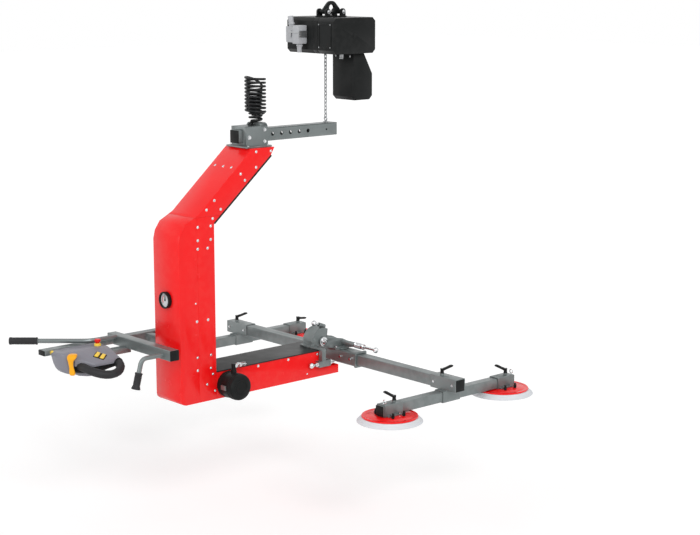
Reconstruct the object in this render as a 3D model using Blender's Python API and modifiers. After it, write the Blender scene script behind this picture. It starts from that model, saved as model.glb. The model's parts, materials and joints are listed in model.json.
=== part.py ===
"""Vacuum lifter on a chain hoist, in metres, +Z up, +Y away from the operator, origin in the suspension eye."""

import math

import bmesh
import bpy
from mathutils import Matrix, Vector

# Suspension and hoist
EYE_HEIGHT = 1.502
EYE_PLATE_THICKNESS = 0.012
EYE_HOLE_RADIUS = 0.015
EYE_RIM = 0.013
EYE_DROP = 0.028
PIN_SPACING = 0.078
PIN_RADIUS = 0.0055
LUG_THICKNESS = 0.008
LUG_SPREAD = 0.042
BOSS_RADIUS = 0.009
LUG_RADIUS = 0.013
HOIST_TOP_DROP = 0.034
HOIST_HEIGHT = 0.140
HOIST_LENGTH = 0.280
HOIST_DEPTH = 0.219
HOIST_CHAMFER = 0.014
HOIST_WALL = 0.004
SEAM_GROOVE = 0.0015
GEAR_CASE_THICKNESS = 0.026
GEAR_CASE_OFFSET = 0.030
MOTOR_RADIUS = 0.050
MOTOR_LENGTH = 0.095
WHEEL_PITCH_RADIUS = 0.030
WHEEL_CORE_RADIUS = 0.019
WHEEL_FLANGE_RADIUS = 0.034
WHEEL_FLANGE_THICKNESS = 0.003
WHEEL_AXLE_RADIUS = 0.006
CONTAINER_WIDTH = 0.130
CONTAINER_DEPTH = 0.104
CONTAINER_HEIGHT = 0.185
CONTAINER_WALL = 0.0025
CONTAINER_RIGHT = 0.120
CONTAINER_NEAR = 0.012
CONTAINER_SLANT_DEPTH = 0.051
CONTAINER_SLANT_HEIGHT = 0.080
CONTAINER_CHAMFER = 0.014
PLUG_LEFT = -0.098
PLUG_WAIST = -0.056
PLUG_RIGHT = -0.018
PLUG_DEPTH = 0.045
PLUG_HEIGHT = 0.072
PLUG_RISE = 0.003
PLUG_GLAND_RADIUS = 0.011

# Chain and load tube
LINK_WIRE = 0.0044
LINK_PITCH = 0.0138
LINK_WIDTH = 0.0145
CHAIN_TOP_RISE = 0.075
LINK_BITE = 0.0008
SWIVEL_RING_RADIUS = 0.0075
SWIVEL_WIRE = 0.0050
SWIVEL_STEM_RADIUS = 0.0055
SWIVEL_COLLAR_RADIUS = 0.0105
SWIVEL_COLLAR_HEIGHT = 0.004
LOAD_TUBE_SIZE = 0.050
LOAD_TUBE_WALL = 0.004
LOAD_TUBE_LENGTH = 0.495
LOAD_TUBE_PAST_CHAIN = 0.036
LOAD_TUBE_TOP = 1.052
LOAD_HOLE_RADIUS = 0.008
LOAD_HOLE_PITCH = 0.045
LOAD_HOLE_COUNT = 7
LOAD_HOLE_FIRST = 0.383
END_HOLE_RADIUS = 0.004
END_HOLE_BACK = 0.017

# Head on the arm
HEAD_LENGTH = 0.073
HEAD_WIDTH = 0.090
HEAD_ROOF = 0.012
HEAD_FLOOR = 0.0105
HEAD_BACK_GAP = 0.019
BASE_PLATE_THICKNESS = 0.006
BASE_PLATE_WIDTH = 0.130
BASE_PLATE_LENGTH = 0.120
BASE_PLATE_FORWARD = 0.010
ARCH_THICKNESS = 0.034
ARCH_RISE = 0.012
GLAND_RADIUS = 0.0085
GLAND_HEIGHT = 0.012

# Spiral cable
CABLE_DIAMETER = 0.009
INNER_COIL_RADIUS = 0.0235
INNER_COIL_HEIGHT = 0.131
OUTER_COIL_RADIUS = 0.0378
OUTER_COIL_START = 0.035
OUTER_COIL_HEIGHT = 0.141
COIL_FROM_HEAD = 0.083
CONNECTOR_RADIUS = 0.0075
CONNECTOR_LENGTH = 0.036
CONNECTOR_ANGLE = 138

# Column and arm
COLUMN_REACH = 0.850
COLUMN_WIDTH = 0.162
COLUMN_DEPTH = 0.165
COLUMN_BOTTOM = 0.040
COLUMN_INNER_BEND = 0.722
COLUMN_FRONT_BEND = 0.662
FRONT_COVER_DEPTH = 0.085
ARM_SEAM = 0.748
ARM_TOP_LENGTH = 0.110
ARM_UNDER_DROP = 0.028
ARM_UNDER_BACK = 0.017
ARM_SHOULDER_BACK = 0.090
ARM_SHOULDER_RISE = 0.095
FRONT_CORNER_RADIUS = 0.014
FOOT_RADIUS = 0.022
SHEET = 0.0025

# Beam
BEAM_HEIGHT = 0.105
BEAM_END_BACK = 0.143
BEAM_TAIL_BACK = 0.065
BEAM_TAIL_HEIGHT = 0.034
BEAM_COVER_THICKNESS = 0.004
BEAM_COVER_OVERHANG = 0.003

# Gauge, filter and pump
GAUGE_HEIGHT = 0.438
GAUGE_RADIUS = 0.0315
GAUGE_DEPTH = 0.015
GAUGE_RIM = 0.004
GAUGE_BACK = 0.007
NEEDLE_THICKNESS = 0.001
NEEDLE_LENGTH = 0.022
FILTER_RADIUS = 0.050
FILTER_LENGTH = 0.084
FILTER_FORWARD = 0.050
FILTER_HEIGHT = 0.093
NECK_RADIUS = 0.011
ELBOW_RADIUS = 0.0085
ELBOW_RISE = 0.036
NIPPLE_LENGTH = 0.060
PUMP_WIDTH = 0.110
PUMP_DEPTH = 0.110
PUMP_HEIGHT = 0.150
PUMP_MOTOR_RADIUS = 0.045
PUMP_MOTOR_HEIGHT = 0.110

# Handles
BAR_SIZE = 0.040
BAR_WALL = 0.003
BAR_TOP = 0.275
BAR_FORWARD = 0.040
BAR_LEFT = -0.285
BAR_RIGHT = 0.124
RAIL_LEFT = -0.215
RAIL_LENGTH = 0.270
STUB_SIZE = 0.030
ARM_FLAT_WIDTH = 0.040
ARM_FLAT_HEIGHT = 0.020
LEFT_FLAT_LENGTH = 0.305
RIGHT_FLAT_X = -0.178
HANDLE_TUBE_RADIUS = 0.009
HANDLE_STRAIGHT = 0.115
HANDLE_OUTWARD = math.radians(42)
HANDLE_LENGTH = 0.200
GRIP_RADIUS = 0.0145
GRIP_LENGTH = 0.107
GRIP_CAP = 0.004
DOWN_HANDLE_X = 0.072
DOWN_STRAIGHT = 0.090
DOWN_LENGTH = 0.052
DOWN_LEAN = math.radians(15)
DOWN_GRIP_LENGTH = 0.062
DOWN_GRIP_FLARE = 0.003

# Control unit
CONTROL_LEFT = -0.235
CONTROL_RIGHT = -0.075
CONTROL_NEAR_REACH = 0.285
CONTROL_FAR_REACH = 0.075
CONTROL_BOTTOM = 0.196
CONTROL_TOP = 0.259
CONTROL_EDGE = 0.010
CORNER_CUT = 0.087
SLOPE_WIDTH = 0.090
SLOPE_DROP = 0.034
BELLY_DROP = 0.025
BELLY_LENGTH = 0.155
BELLY_INSET = 0.006
D_TUBE_RADIUS = 0.0160
D_REACH = 0.070
D_DROP = 0.024
D_TOP = 0.227
D_NEAR_REACH = 0.231
D_SPAN = 0.137
D_NEAR_DEPTH = 0.037
LEVER_WIDTH = 0.018
LEVER_LENGTH = 0.067
LEVER_THICKNESS = 0.025
LEVER_ALONG = 0.039
LEVER_DROP = 0.012
BUTTON_LENGTH = 0.034
BUTTON_WIDTH = 0.0145
BUTTON_STEP = 0.0215
BUTTON_LEAN = math.radians(39)
BUTTONS_BACK = 0.037
BUTTONS_FORWARD = 0.150
BUTTON_STAND = 0.005
BUTTON_TRAVEL = 0.003
BUTTON_POCKET = 0.006
STOP_X = -0.188
STOP_FORWARD = 0.110
STOP_RADIUS = 0.0115
STOP_STEM_RADIUS = 0.007
STOP_HEAD = 0.011
STOP_TRAVEL = 0.004
COLLAR_HEIGHT = 0.010

# Tilting head
TILT_BACK = 0.105
TILT_HEIGHT = 0.166
AXLE_RADIUS = 0.008
BRACKET_CHEEK_GAP = 0.046
BRACKET_CHEEK = 0.006
BRACKET_RADIUS = 0.055
BRACKET_FOOT_LENGTH = 0.055
DOME_NUT_RADIUS = 0.012
HEAD_BOSS_RADIUS = 0.020
HEAD_PLATE_THICKNESS = 0.006
BEARING_PLATE_THICKNESS = 0.008
BEARING_PLATE_WIDTH = 0.100
BEARING_PLATE_REACH = 0.052
KING_BOLT_RADIUS = 0.010
PLUNGER_RADIUS = 0.0055
PLUNGER_KNOB_RADIUS = 0.012
PLUNGER_TRAVEL = 0.010
TILT_PLUNGER_HEIGHT = 0.095
TILT_PLUNGER_START = 0.232
TILT_PLUNGER_LENGTH = 0.120
GUIDE_SIZE = 0.024
GUIDE_LENGTH = 0.060
ROTATION_GUIDE_REACH = 0.158
ROTATION_GUIDE_RADIUS = 0.010
ROTATION_PLUNGER_REACH = 0.246
ROTATION_PLUNGER_RISE = 0.014
HOOD_PLUNGER_X = 0.0125
HOOD_PLUNGER_BACK = 0.136
HOOD_PLUNGER_HEIGHT = 0.243
HOOD_PLUNGER_LENGTH = 0.062
HOOD_PLUNGER_SLOPE = math.radians(20.8)
HOOD_GUIDE_START = 0.026
HOOD_GUIDE_END = 0.058
HOOD_GUIDE_RADIUS = 0.009
HUB_DISC_RADIUS = 0.050
HUB_SLEEVE_LENGTH = 0.290
HUB_FLANGE = 0.005
HUB_FLANGE_THICKNESS = 0.006

# Suction frame
TRAVERSE_Y = 0.030
TRAVERSE_SIZE = 0.045
TRAVERSE_LENGTH = 1.410
TUBE_WALL = 0.003
CROSS_SIZE = 0.040
CROSS_LENGTH = 0.710
CROSS_SPREAD = 0.640
SLIDER_LENGTH = 0.136
LOWER_SLEEVE_LENGTH = 0.092
SLEEVE_WALL = 0.0028
SLEEVE_PLATE = 0.003
PAD_SPREAD = 0.304
LIP_RADIUS = 0.125
LIP_HEIGHT = 0.018
LIP_FOOT = 0.020
LIP_EDGE = 0.003
LIP_TOP_RADIUS = 0.110
LIP_SEAT = 0.020
DISC_RADIUS = 0.106
DISC_THICKNESS = 0.006
CARRIER_LENGTH = 0.090
CARRIER_FOOT_WIDTH = 0.064
CARRIER_FOOT_LENGTH = 0.068
STUD_RADIUS = 0.004
STUD_HEIGHT = 0.005
WING_HUB_RADIUS = 0.008
WING_HUB_HEIGHT = 0.020
WING_REACH = 0.054
WING_RISE = 0.010
WING_THICKNESS = 0.009

# Fits
TOUCH = 0.0003
SLIDE = 0.0005

PARTS = "vacuum_lifter"
CUTTERS = "cutters"


def level(height):
    """Turn a height above the pads' faces into Z."""
    return height - EYE_HEIGHT


def ahead(distance):
    """Turn a distance behind the traverse's middle into Y."""
    return TRAVERSE_Y - distance


def clear_scene():
    for obj in list(bpy.data.objects):
        bpy.data.objects.remove(obj, do_unlink=True)
    for name in (PARTS, CUTTERS):
        group = bpy.data.collections.new(name)
        bpy.context.scene.collection.children.link(group)


def group(name):
    return bpy.context.scene.collection.children[name]


def paint(name, colour, roughness, metallic):
    """A plain Principled material, made once and shared."""
    material = bpy.data.materials.get(name)
    if material is None:
        material = bpy.data.materials.new(name)
        material.use_nodes = True
        shader = material.node_tree.nodes["Principled BSDF"]
        shader.inputs["Base Color"].default_value = (*colour, 1.0)
        shader.inputs["Roughness"].default_value = roughness
        shader.inputs["Metallic"].default_value = metallic
    return material


def red_paint():
    return paint("red_paint", (0.85, 0.015, 0.015), 0.35, 0.0)


def zinc():
    return paint("zinc", (0.32, 0.35, 0.35), 0.45, 0.9)


def black_plastic():
    return paint("black_plastic", (0.02, 0.022, 0.022), 0.5, 0.0)


def black_paint():
    return paint("black_paint", (0.03, 0.033, 0.033), 0.4, 0.0)


def grey_plastic():
    return paint("grey_plastic", (0.27, 0.27, 0.31), 0.5, 0.0)


def light_grey():
    return paint("light_grey", (0.5, 0.51, 0.53), 0.5, 0.0)


def orange_plastic():
    return paint("orange_plastic", (0.95, 0.38, 0.02), 0.4, 0.0)


def yellow_plastic():
    return paint("yellow_plastic", (0.95, 0.7, 0.12), 0.4, 0.0)


def white_rubber():
    return paint("white_rubber", (0.8, 0.82, 0.84), 0.6, 0.0)


def steel():
    return paint("steel", (0.6, 0.61, 0.62), 0.25, 1.0)


def add_object(name, mesh, material=None, where=CUTTERS):
    """Put a mesh in the scene. Without a material it is a cutter."""
    obj = bpy.data.objects.new(name, mesh)
    group(where).objects.link(obj)
    if material is None:
        obj.hide_render = True
        obj.display_type = "WIRE"
    else:
        mesh.materials.append(material)
    return obj


def from_bmesh(name, bm, material=None):
    mesh = bpy.data.meshes.new(name)
    bm.to_mesh(mesh)
    bm.free()
    return add_object(name, mesh, material, CUTTERS if material is None else PARTS)


def block(name, low, high, material=None, edge=0.0):
    """A box between two corners, with rounded edges where edge is given."""
    bm = bmesh.new()
    bmesh.ops.create_cube(bm, size=1.0)
    low, high = Vector(low), Vector(high)
    bmesh.ops.scale(bm, vec=high - low, verts=bm.verts)
    bmesh.ops.translate(bm, vec=(low + high) / 2, verts=bm.verts)
    obj = from_bmesh(name, bm, material)
    if edge:
        soften(obj, edge)
    return obj


def soften(obj, width, segments=2, angle=50):
    bevel = obj.modifiers.new("rounded edges", "BEVEL")
    bevel.width = width
    bevel.segments = segments
    bevel.limit_method = "ANGLE"
    bevel.angle_limit = math.radians(angle)
    return bevel


def turn_to(direction):
    """The rotation that carries +Z onto a direction."""
    return Vector((0, 0, 1)).rotation_difference(Vector(direction)).to_matrix().to_4x4()


def rod(name, start, end, radius, material=None, segments=16, end_radius=None):
    """A round rod or cone between two points."""
    start, end = Vector(start), Vector(end)
    bm = bmesh.new()
    top = radius if end_radius is None else end_radius
    bmesh.ops.create_cone(bm, cap_ends=True, segments=segments, radius1=radius, radius2=top,
                          depth=(end - start).length)
    place = Matrix.Translation((start + end) / 2) @ turn_to(end - start)
    bmesh.ops.transform(bm, matrix=place, verts=bm.verts)
    obj = from_bmesh(name, bm, material)
    obj.data.shade_smooth()
    obj.data.set_sharp_from_angle(angle=math.radians(40))
    return obj


def ball(name, centre, radii, material=None, rings=8, segments=12):
    bm = bmesh.new()
    bmesh.ops.create_uvsphere(bm, u_segments=segments, v_segments=rings, radius=1.0)
    bmesh.ops.scale(bm, vec=radii, verts=bm.verts)
    bmesh.ops.translate(bm, vec=centre, verts=bm.verts)
    return from_bmesh(name, bm, material)


def turned(name, profile, origin, direction, material=None, segments=32):
    """Turn a closed profile of (radius, height) points round an axis."""
    bm = bmesh.new()
    corners = [bm.verts.new((radius, 0, height)) for radius, height in profile]
    for first, second in zip(corners, corners[1:] + corners[:1]):
        if first.co.x > 0 or second.co.x > 0:
            bm.edges.new((first, second))
    obj = from_bmesh(name, bm, material)
    screw = obj.modifiers.new("turned", "SCREW")
    screw.steps = segments
    screw.render_steps = segments
    screw.use_merge_vertices = True
    screw.merge_threshold = 0.00001
    obj.matrix_world = Matrix.Translation(origin) @ turn_to(direction)
    return obj


def to_mesh(obj, material=None, name=None):
    """Swap a curve for a welded mesh that can be cut."""
    bpy.context.view_layer.update()
    graph = bpy.context.evaluated_depsgraph_get()
    mesh = bpy.data.meshes.new_from_object(obj.evaluated_get(graph))
    bm = bmesh.new()
    bm.from_mesh(mesh)
    bmesh.ops.remove_doubles(bm, verts=bm.verts, dist=0.00001)
    bmesh.ops.recalc_face_normals(bm, faces=bm.faces)
    bm.to_mesh(mesh)
    bm.free()
    mesh.materials.clear()
    place = obj.matrix_world.copy()
    label = name or obj.name
    bpy.data.objects.remove(obj, do_unlink=True)
    result = add_object(label, mesh, material, CUTTERS if material is None else PARTS)
    result.matrix_world = place
    return result


PLANES = {
    "X": Matrix(((0, 0, 1, 0), (1, 0, 0, 0), (0, 1, 0, 0), (0, 0, 0, 1))),
    "Y": Matrix(((1, 0, 0, 0), (0, 0, -1, 0), (0, 1, 0, 0), (0, 0, 0, 1))),
    "Z": Matrix.Identity(4),
}


def plate(name, outlines, axis, low, high, material=None):
    """Extrude flat outlines along an axis. On X they are (y, z), on Y (x, z) and on Z (x, y)."""
    curve = bpy.data.curves.new(name, "CURVE")
    curve.dimensions = "2D"
    curve.fill_mode = "BOTH"
    curve.extrude = (high - low) / 2
    for outline in outlines:
        spline = curve.splines.new("POLY")
        spline.points.add(len(outline) - 1)
        for point, (first, second) in zip(spline.points, outline):
            point.co = (first, second, 0, 1)
        spline.use_cyclic_u = True
    obj = bpy.data.objects.new(name, curve)
    group(CUTTERS).objects.link(obj)
    middle = (low + high) / 2
    shift = -middle if axis == "Y" else middle
    obj.matrix_world = PLANES[axis] @ Matrix.Translation((0, 0, shift))
    return to_mesh(obj, material, name)


def arc(centre, radius, start, end, steps):
    """Points round part of a circle, angles in degrees."""
    points = []
    for step in range(steps + 1):
        angle = math.radians(start + (end - start) * step / steps)
        points.append((centre[0] + radius * math.cos(angle), centre[1] + radius * math.sin(angle)))
    return points


def square(centre, size, corner):
    """A square outline with cut corners."""
    half = size / 2
    inner = half - corner
    signs = ((1, 1), (-1, 1), (-1, -1), (1, -1))
    points = []
    for index, (sx, sy) in enumerate(signs):
        first = (centre[0] + sx * half, centre[1] + sy * inner)
        second = (centre[0] + sx * inner, centre[1] + sy * half)
        points += [first, second] if index % 2 == 0 else [second, first]
    return points


def square_tube(name, axis, centre, size, wall, low, high, material=None):
    """A hollow square tube with slightly rounded corners."""
    outside = square(centre, size, wall * 0.8)
    inside = square(centre, size - 2 * wall, wall * 0.4)
    return plate(name, [outside, inside], axis, low, high, material)


def bent_tube(name, points, radius, material=None, resolution=3, cyclic=False):
    """A round tube or wire along points."""
    curve = bpy.data.curves.new(name, "CURVE")
    curve.dimensions = "3D"
    curve.bevel_depth = radius
    curve.bevel_resolution = resolution
    curve.use_fill_caps = True
    spline = curve.splines.new("POLY")
    spline.points.add(len(points) - 1)
    for point, place in zip(spline.points, points):
        point.co = (*place, 1)
    spline.use_cyclic_u = cyclic
    obj = bpy.data.objects.new(name, curve)
    group(CUTTERS).objects.link(obj)
    return to_mesh(obj, material, name)


def smooth_route(points, steps):
    """Points on a smooth curve through the given ones."""
    points = [Vector(point) for point in points]
    padded = [points[0] * 2 - points[1]] + points + [points[-1] * 2 - points[-2]]
    route = []
    for index in range(1, len(padded) - 2):
        before, here, there, after = padded[index - 1:index + 3]
        for step in range(steps):
            t = step / steps
            route.append(0.5 * (2 * here + (there - before) * t
                                + (2 * before - 5 * here + 4 * there - after) * t ** 2
                                + (3 * here - before - 3 * there + after) * t ** 3))
    route.append(points[-1])
    return route


def combine(target, tool, operation):
    boolean = target.modifiers.new(operation.lower(), "BOOLEAN")
    boolean.operation = operation
    boolean.solver = "EXACT"
    boolean.object = tool
    tool.hide_render = True
    tool.display_type = "WIRE"
    return target


def cut(target, *tools):
    for tool in tools:
        combine(target, tool, "DIFFERENCE")
    return target


def join(target, *tools):
    for tool in tools:
        combine(target, tool, "UNION")
    return target


def keep(target, tool):
    return combine(target, tool, "INTERSECT")


def pivot(name, place, *parts):
    """An empty on a joint's axis that carries the moving pieces."""
    empty = bpy.data.objects.new(name, None)
    empty.empty_display_size = 0.05
    group(PARTS).objects.link(empty)
    empty.location = place
    bpy.context.view_layer.update()
    for part in parts:
        part.parent = empty
        part.matrix_parent_inverse = empty.matrix_world.inverted()
    return empty


HOIST_TOP = -HOIST_TOP_DROP
HOIST_BOTTOM = HOIST_TOP - HOIST_HEIGHT
HOIST_MIDDLE = (HOIST_TOP + HOIST_BOTTOM) / 2
CHAIN_Y = -WHEEL_PITCH_RADIUS
GEAR_CASE_LEFT = GEAR_CASE_OFFSET - GEAR_CASE_THICKNESS / 2
GEAR_CASE_RIGHT = GEAR_CASE_OFFSET + GEAR_CASE_THICKNESS / 2
PIN_LEVEL = -EYE_DROP / 2
LOAD_TUBE_Z = level(LOAD_TUBE_TOP)


def chamfered_section(shrink):
    """The hoist's cross-section on (y, z): a rectangle with its corners cut."""
    half_depth = HOIST_DEPTH / 2 - shrink
    low = HOIST_BOTTOM + shrink
    high = HOIST_TOP - shrink
    corner = HOIST_CHAMFER - shrink * 0.4
    return [(half_depth - corner, high), (-half_depth + corner, high), (-half_depth, high - corner),
            (-half_depth, low + corner), (-half_depth + corner, low), (half_depth - corner, low),
            (half_depth, low + corner), (half_depth, high - corner)]


def make_hoist():
    """The cup-shaped motor cover, and the gear case with the electric cover cast on."""
    left = -HOIST_LENGTH / 2
    seam = GEAR_CASE_LEFT - TOUCH
    cover = plate("hoist_motor_cover", [chamfered_section(0)], "X", left, seam, black_paint())
    room = [chamfered_section(HOIST_WALL)]
    cut(cover, plate("cover_room", room, "X", left + HOIST_WALL, seam + HOIST_WALL))
    slot_half = LINK_WIDTH / 2 + 0.002
    low_slot = (-slot_half, CHAIN_Y - slot_half, HOIST_BOTTOM - HOIST_WALL)
    high_slot = (slot_half, CHAIN_Y + slot_half, HOIST_BOTTOM + 2 * HOIST_WALL)
    cut(cover, block("chain_slot", low_slot, high_slot))
    right = HOIST_LENGTH / 2
    case = plate("hoist_gear_case", [chamfered_section(0)], "X", GEAR_CASE_LEFT, right, black_paint())
    cut(case, plate("case_room", room, "X", GEAR_CASE_RIGHT, right - HOIST_WALL))
    groove = [chamfered_section(-0.002), chamfered_section(SEAM_GROOVE)]
    cut(case, plate("seam_groove", groove, "X", GEAR_CASE_RIGHT, GEAR_CASE_RIGHT + SEAM_GROOVE))
    return cut(case, rod("cable_port", (GEAR_CASE_RIGHT + 0.02, 0, HOIST_MIDDLE), (right + 0.01, 0, HOIST_MIDDLE), 0.006))


def make_hoist_motor():
    """The motor stands off the gear case on its flange, with the chain wheel's axle between them."""
    end = GEAR_CASE_LEFT - TOUCH
    body_end = -GEAR_CASE_LEFT - 0.006
    low = -HOIST_LENGTH / 2 + HOIST_WALL + TOUCH
    motor = rod("hoist_motor", (low, 0, HOIST_MIDDLE), (body_end, 0, HOIST_MIDDLE), MOTOR_RADIUS, steel(), 24)
    axle = rod("wheel_axle", (body_end - 0.003, 0, HOIST_MIDDLE), (end, 0, HOIST_MIDDLE), WHEEL_AXLE_RADIUS)
    return join(motor, axle)


def make_chain_wheel():
    """A grooved wheel whose two flanges straddle the chain."""
    half = LINK_WIDTH / 2 + TOUCH
    outer = half + WHEEL_FLANGE_THICKNESS
    bore = WHEEL_AXLE_RADIUS + SLIDE
    profile = [(bore, -outer), (bore, outer), (WHEEL_FLANGE_RADIUS, outer), (WHEEL_FLANGE_RADIUS, half),
               (WHEEL_CORE_RADIUS, half), (WHEEL_CORE_RADIUS, -half), (WHEEL_FLANGE_RADIUS, -half),
               (WHEEL_FLANGE_RADIUS, -outer)]
    wheel = turned("chain_wheel", profile, (0, 0, HOIST_MIDDLE), (1, 0, 0), steel(), 24)
    pivot("chain_wheel_axis", (0, 0, HOIST_MIDDLE), wheel)


def make_suspension():
    """Four lugs on the hoist's top hold two pins, and the eye plate hangs on them by its bosses."""
    half = EYE_PLATE_THICKNESS / 2
    gap = LUG_SPREAD / 2
    side = PIN_SPACING / 2
    foot_half = side + LUG_RADIUS
    foot_wide = gap + LUG_THICKNESS + 0.006
    bracket = block("suspension_bracket", (-foot_wide, -foot_half, HOIST_TOP + TOUCH),
                    (foot_wide, foot_half, HOIST_TOP + 0.004), black_paint())
    for x_sign in (-1, 1):
        for y_sign in (-1, 1):
            middle = (y_sign * side, PIN_LEVEL)
            outline = arc(middle, LUG_RADIUS, 0, 180, 8)
            foot = HOIST_TOP + 0.002
            outline += [(middle[0] - LUG_RADIUS, foot), (middle[0] + LUG_RADIUS, foot)]
            low, high = sorted((x_sign * gap, x_sign * (gap + LUG_THICKNESS)))
            join(bracket, plate("lug", [outline], "X", low, high))
    reach = gap + LUG_THICKNESS + 0.003
    for y_sign in (-1, 1):
        place = (y_sign * side, PIN_LEVEL)
        join(bracket, rod("pin", (-reach, *place), (reach, *place), PIN_RADIUS, None, 12))
    outline = arc((0, 0), EYE_HOLE_RADIUS + EYE_RIM, 40, 140, 8)
    outline += arc((-side, PIN_LEVEL), BOSS_RADIUS, 140, 270, 5)
    outline += arc((side, PIN_LEVEL), BOSS_RADIUS, 270, 400, 5)
    bores = [arc((y_sign * side, PIN_LEVEL), PIN_RADIUS + SLIDE, 0, 330, 11) for y_sign in (-1, 1)]
    hole = arc((0, 0), EYE_HOLE_RADIUS, 0, 337.5, 15)
    eye = plate("suspension_eye", [outline, hole] + bores, "X", -half, half, black_paint())
    for y_sign, bore in zip((-1, 1), bores):
        rim = arc((y_sign * side, PIN_LEVEL), BOSS_RADIUS - 0.0004, 0, 330, 11)
        for x_sign in (-1, 1):
            low, high = sorted((x_sign * (half - 0.001), x_sign * (gap - SLIDE)))
            join(eye, plate("boss", [rim, bore], "X", low, high))


def make_connector_box():
    """The plug on the motor cover's front, with a gland above and below."""
    back = -HOIST_DEPTH / 2 - TOUCH
    front = back - PLUG_DEPTH
    low = HOIST_MIDDLE + PLUG_RISE - PLUG_HEIGHT / 2
    high = low + PLUG_HEIGHT
    plug = block("connector_box", (PLUG_WAIST, front, low), (PLUG_RIGHT, back, high), light_grey(), 0.003)
    join(plug, block("plug_hood", (PLUG_LEFT, front + 0.0045, low + 0.005),
                     (PLUG_WAIST + 0.006, back - 0.006, high - 0.005)))
    middle = (front + back) / 2
    radius = PLUG_GLAND_RADIUS
    x = PLUG_LEFT + 0.014
    join(plug, rod("upper_gland", (x, middle, high - 0.006), (x - 0.008, middle, high + 0.034), radius, None, 12))
    x = PLUG_WAIST + 0.018
    join(plug, rod("lower_gland", (x, middle, low + 0.006), (x, middle, low - 0.034), radius, None, 12, radius * 0.8))
    return plug


def container_outline(inset, top):
    """The chain container's side view on (y, z)."""
    near = CONTAINER_NEAR + inset
    far = CONTAINER_NEAR + CONTAINER_DEPTH - inset
    high = HOIST_BOTTOM - TOUCH
    low = high - CONTAINER_HEIGHT + inset
    corner = CONTAINER_CHAMFER
    slant = CONTAINER_NEAR + CONTAINER_DEPTH - CONTAINER_SLANT_DEPTH - inset * 1.5
    return [(near, high + top), (near, low + corner), (near + corner, low), (far - corner, low), (far, low + corner),
            (far, high - CONTAINER_SLANT_HEIGHT), (slant, high + top)]


def make_chain_container():
    """The open-topped container that takes the slack chain."""
    left = CONTAINER_RIGHT - CONTAINER_WIDTH
    wall = CONTAINER_WALL
    outline = container_outline(0, CONTAINER_CHAMFER)
    container = plate("chain_container", [outline], "X", left, CONTAINER_RIGHT, black_plastic())
    soften(container, 0.010, 2)
    rim = HOIST_BOTTOM - TOUCH
    far = CONTAINER_NEAR + CONTAINER_DEPTH
    cut(container, block("above_rim", (left - 0.01, CONTAINER_NEAR - 0.01, rim),
                         (CONTAINER_RIGHT + 0.01, far + 0.01, rim + 0.05)))
    hollow = plate("container_inside", [container_outline(wall, 2 * CONTAINER_CHAMFER)], "X", left + wall, CONTAINER_RIGHT - wall)
    soften(hollow, 0.007, 2)
    return cut(container, hollow)


def link_points(middle, along_x):
    """The centre line of one chain link, round at both ends."""
    half_width = (LINK_WIDTH - LINK_WIRE) / 2
    straight = (LINK_PITCH + LINK_WIRE) / 2 - half_width
    points = []
    for start, shift in ((0, straight), (180, -straight)):
        for side, rise in arc((0, 0), half_width, start, start + 180, 4):
            across = (side, 0) if along_x else (0, side)
            points.append((across[0], CHAIN_Y + across[1], middle + shift + rise))
    return points


def make_chain():
    """The swivel eye with its stem and nut, and the links from it up into the hoist."""
    ring_middle = LOAD_TUBE_Z + SWIVEL_COLLAR_HEIGHT + SLIDE + SWIVEL_RING_RADIUS + SWIVEL_WIRE / 2
    ring = [(x, CHAIN_Y, ring_middle + z) for x, z in arc((0, 0), SWIVEL_RING_RADIUS, 0, 330, 11)]
    chain = bent_tube("load_chain", ring, SWIVEL_WIRE / 2, steel(), 2, True)
    collar_bottom = LOAD_TUBE_Z + SLIDE
    collar_top = collar_bottom + SWIVEL_COLLAR_HEIGHT + SWIVEL_WIRE / 3
    nut_top = LOAD_TUBE_Z - LOAD_TUBE_WALL - SLIDE
    for name, low, high, radius, sides in (
            ("collar", collar_bottom, collar_top, SWIVEL_COLLAR_RADIUS, 16),
            ("stem", nut_top - 0.004, collar_bottom + 0.002, SWIVEL_STEM_RADIUS, 16),
            ("nut", nut_top - 0.007, nut_top, SWIVEL_COLLAR_RADIUS, 6)):
        join(chain, rod(name, (0, CHAIN_Y, low), (0, CHAIN_Y, high), radius, None, sides))
    lowest_wire = ring_middle + SWIVEL_RING_RADIUS - SWIVEL_WIRE / 2 - LINK_WIRE / 2 + LINK_BITE
    middle = lowest_wire + (LINK_PITCH + LINK_WIRE) / 2
    top = HOIST_BOTTOM + CHAIN_TOP_RISE
    along_x = False
    while middle + LINK_PITCH / 2 + LINK_WIRE < top:
        join(chain, bent_tube("link", link_points(middle, along_x), LINK_WIRE / 2, None, 1, True))
        middle += LINK_PITCH + LINK_BITE
        along_x = not along_x
    pivot("hoist_lift_axis", (0, CHAIN_Y, HOIST_BOTTOM), chain)


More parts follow.
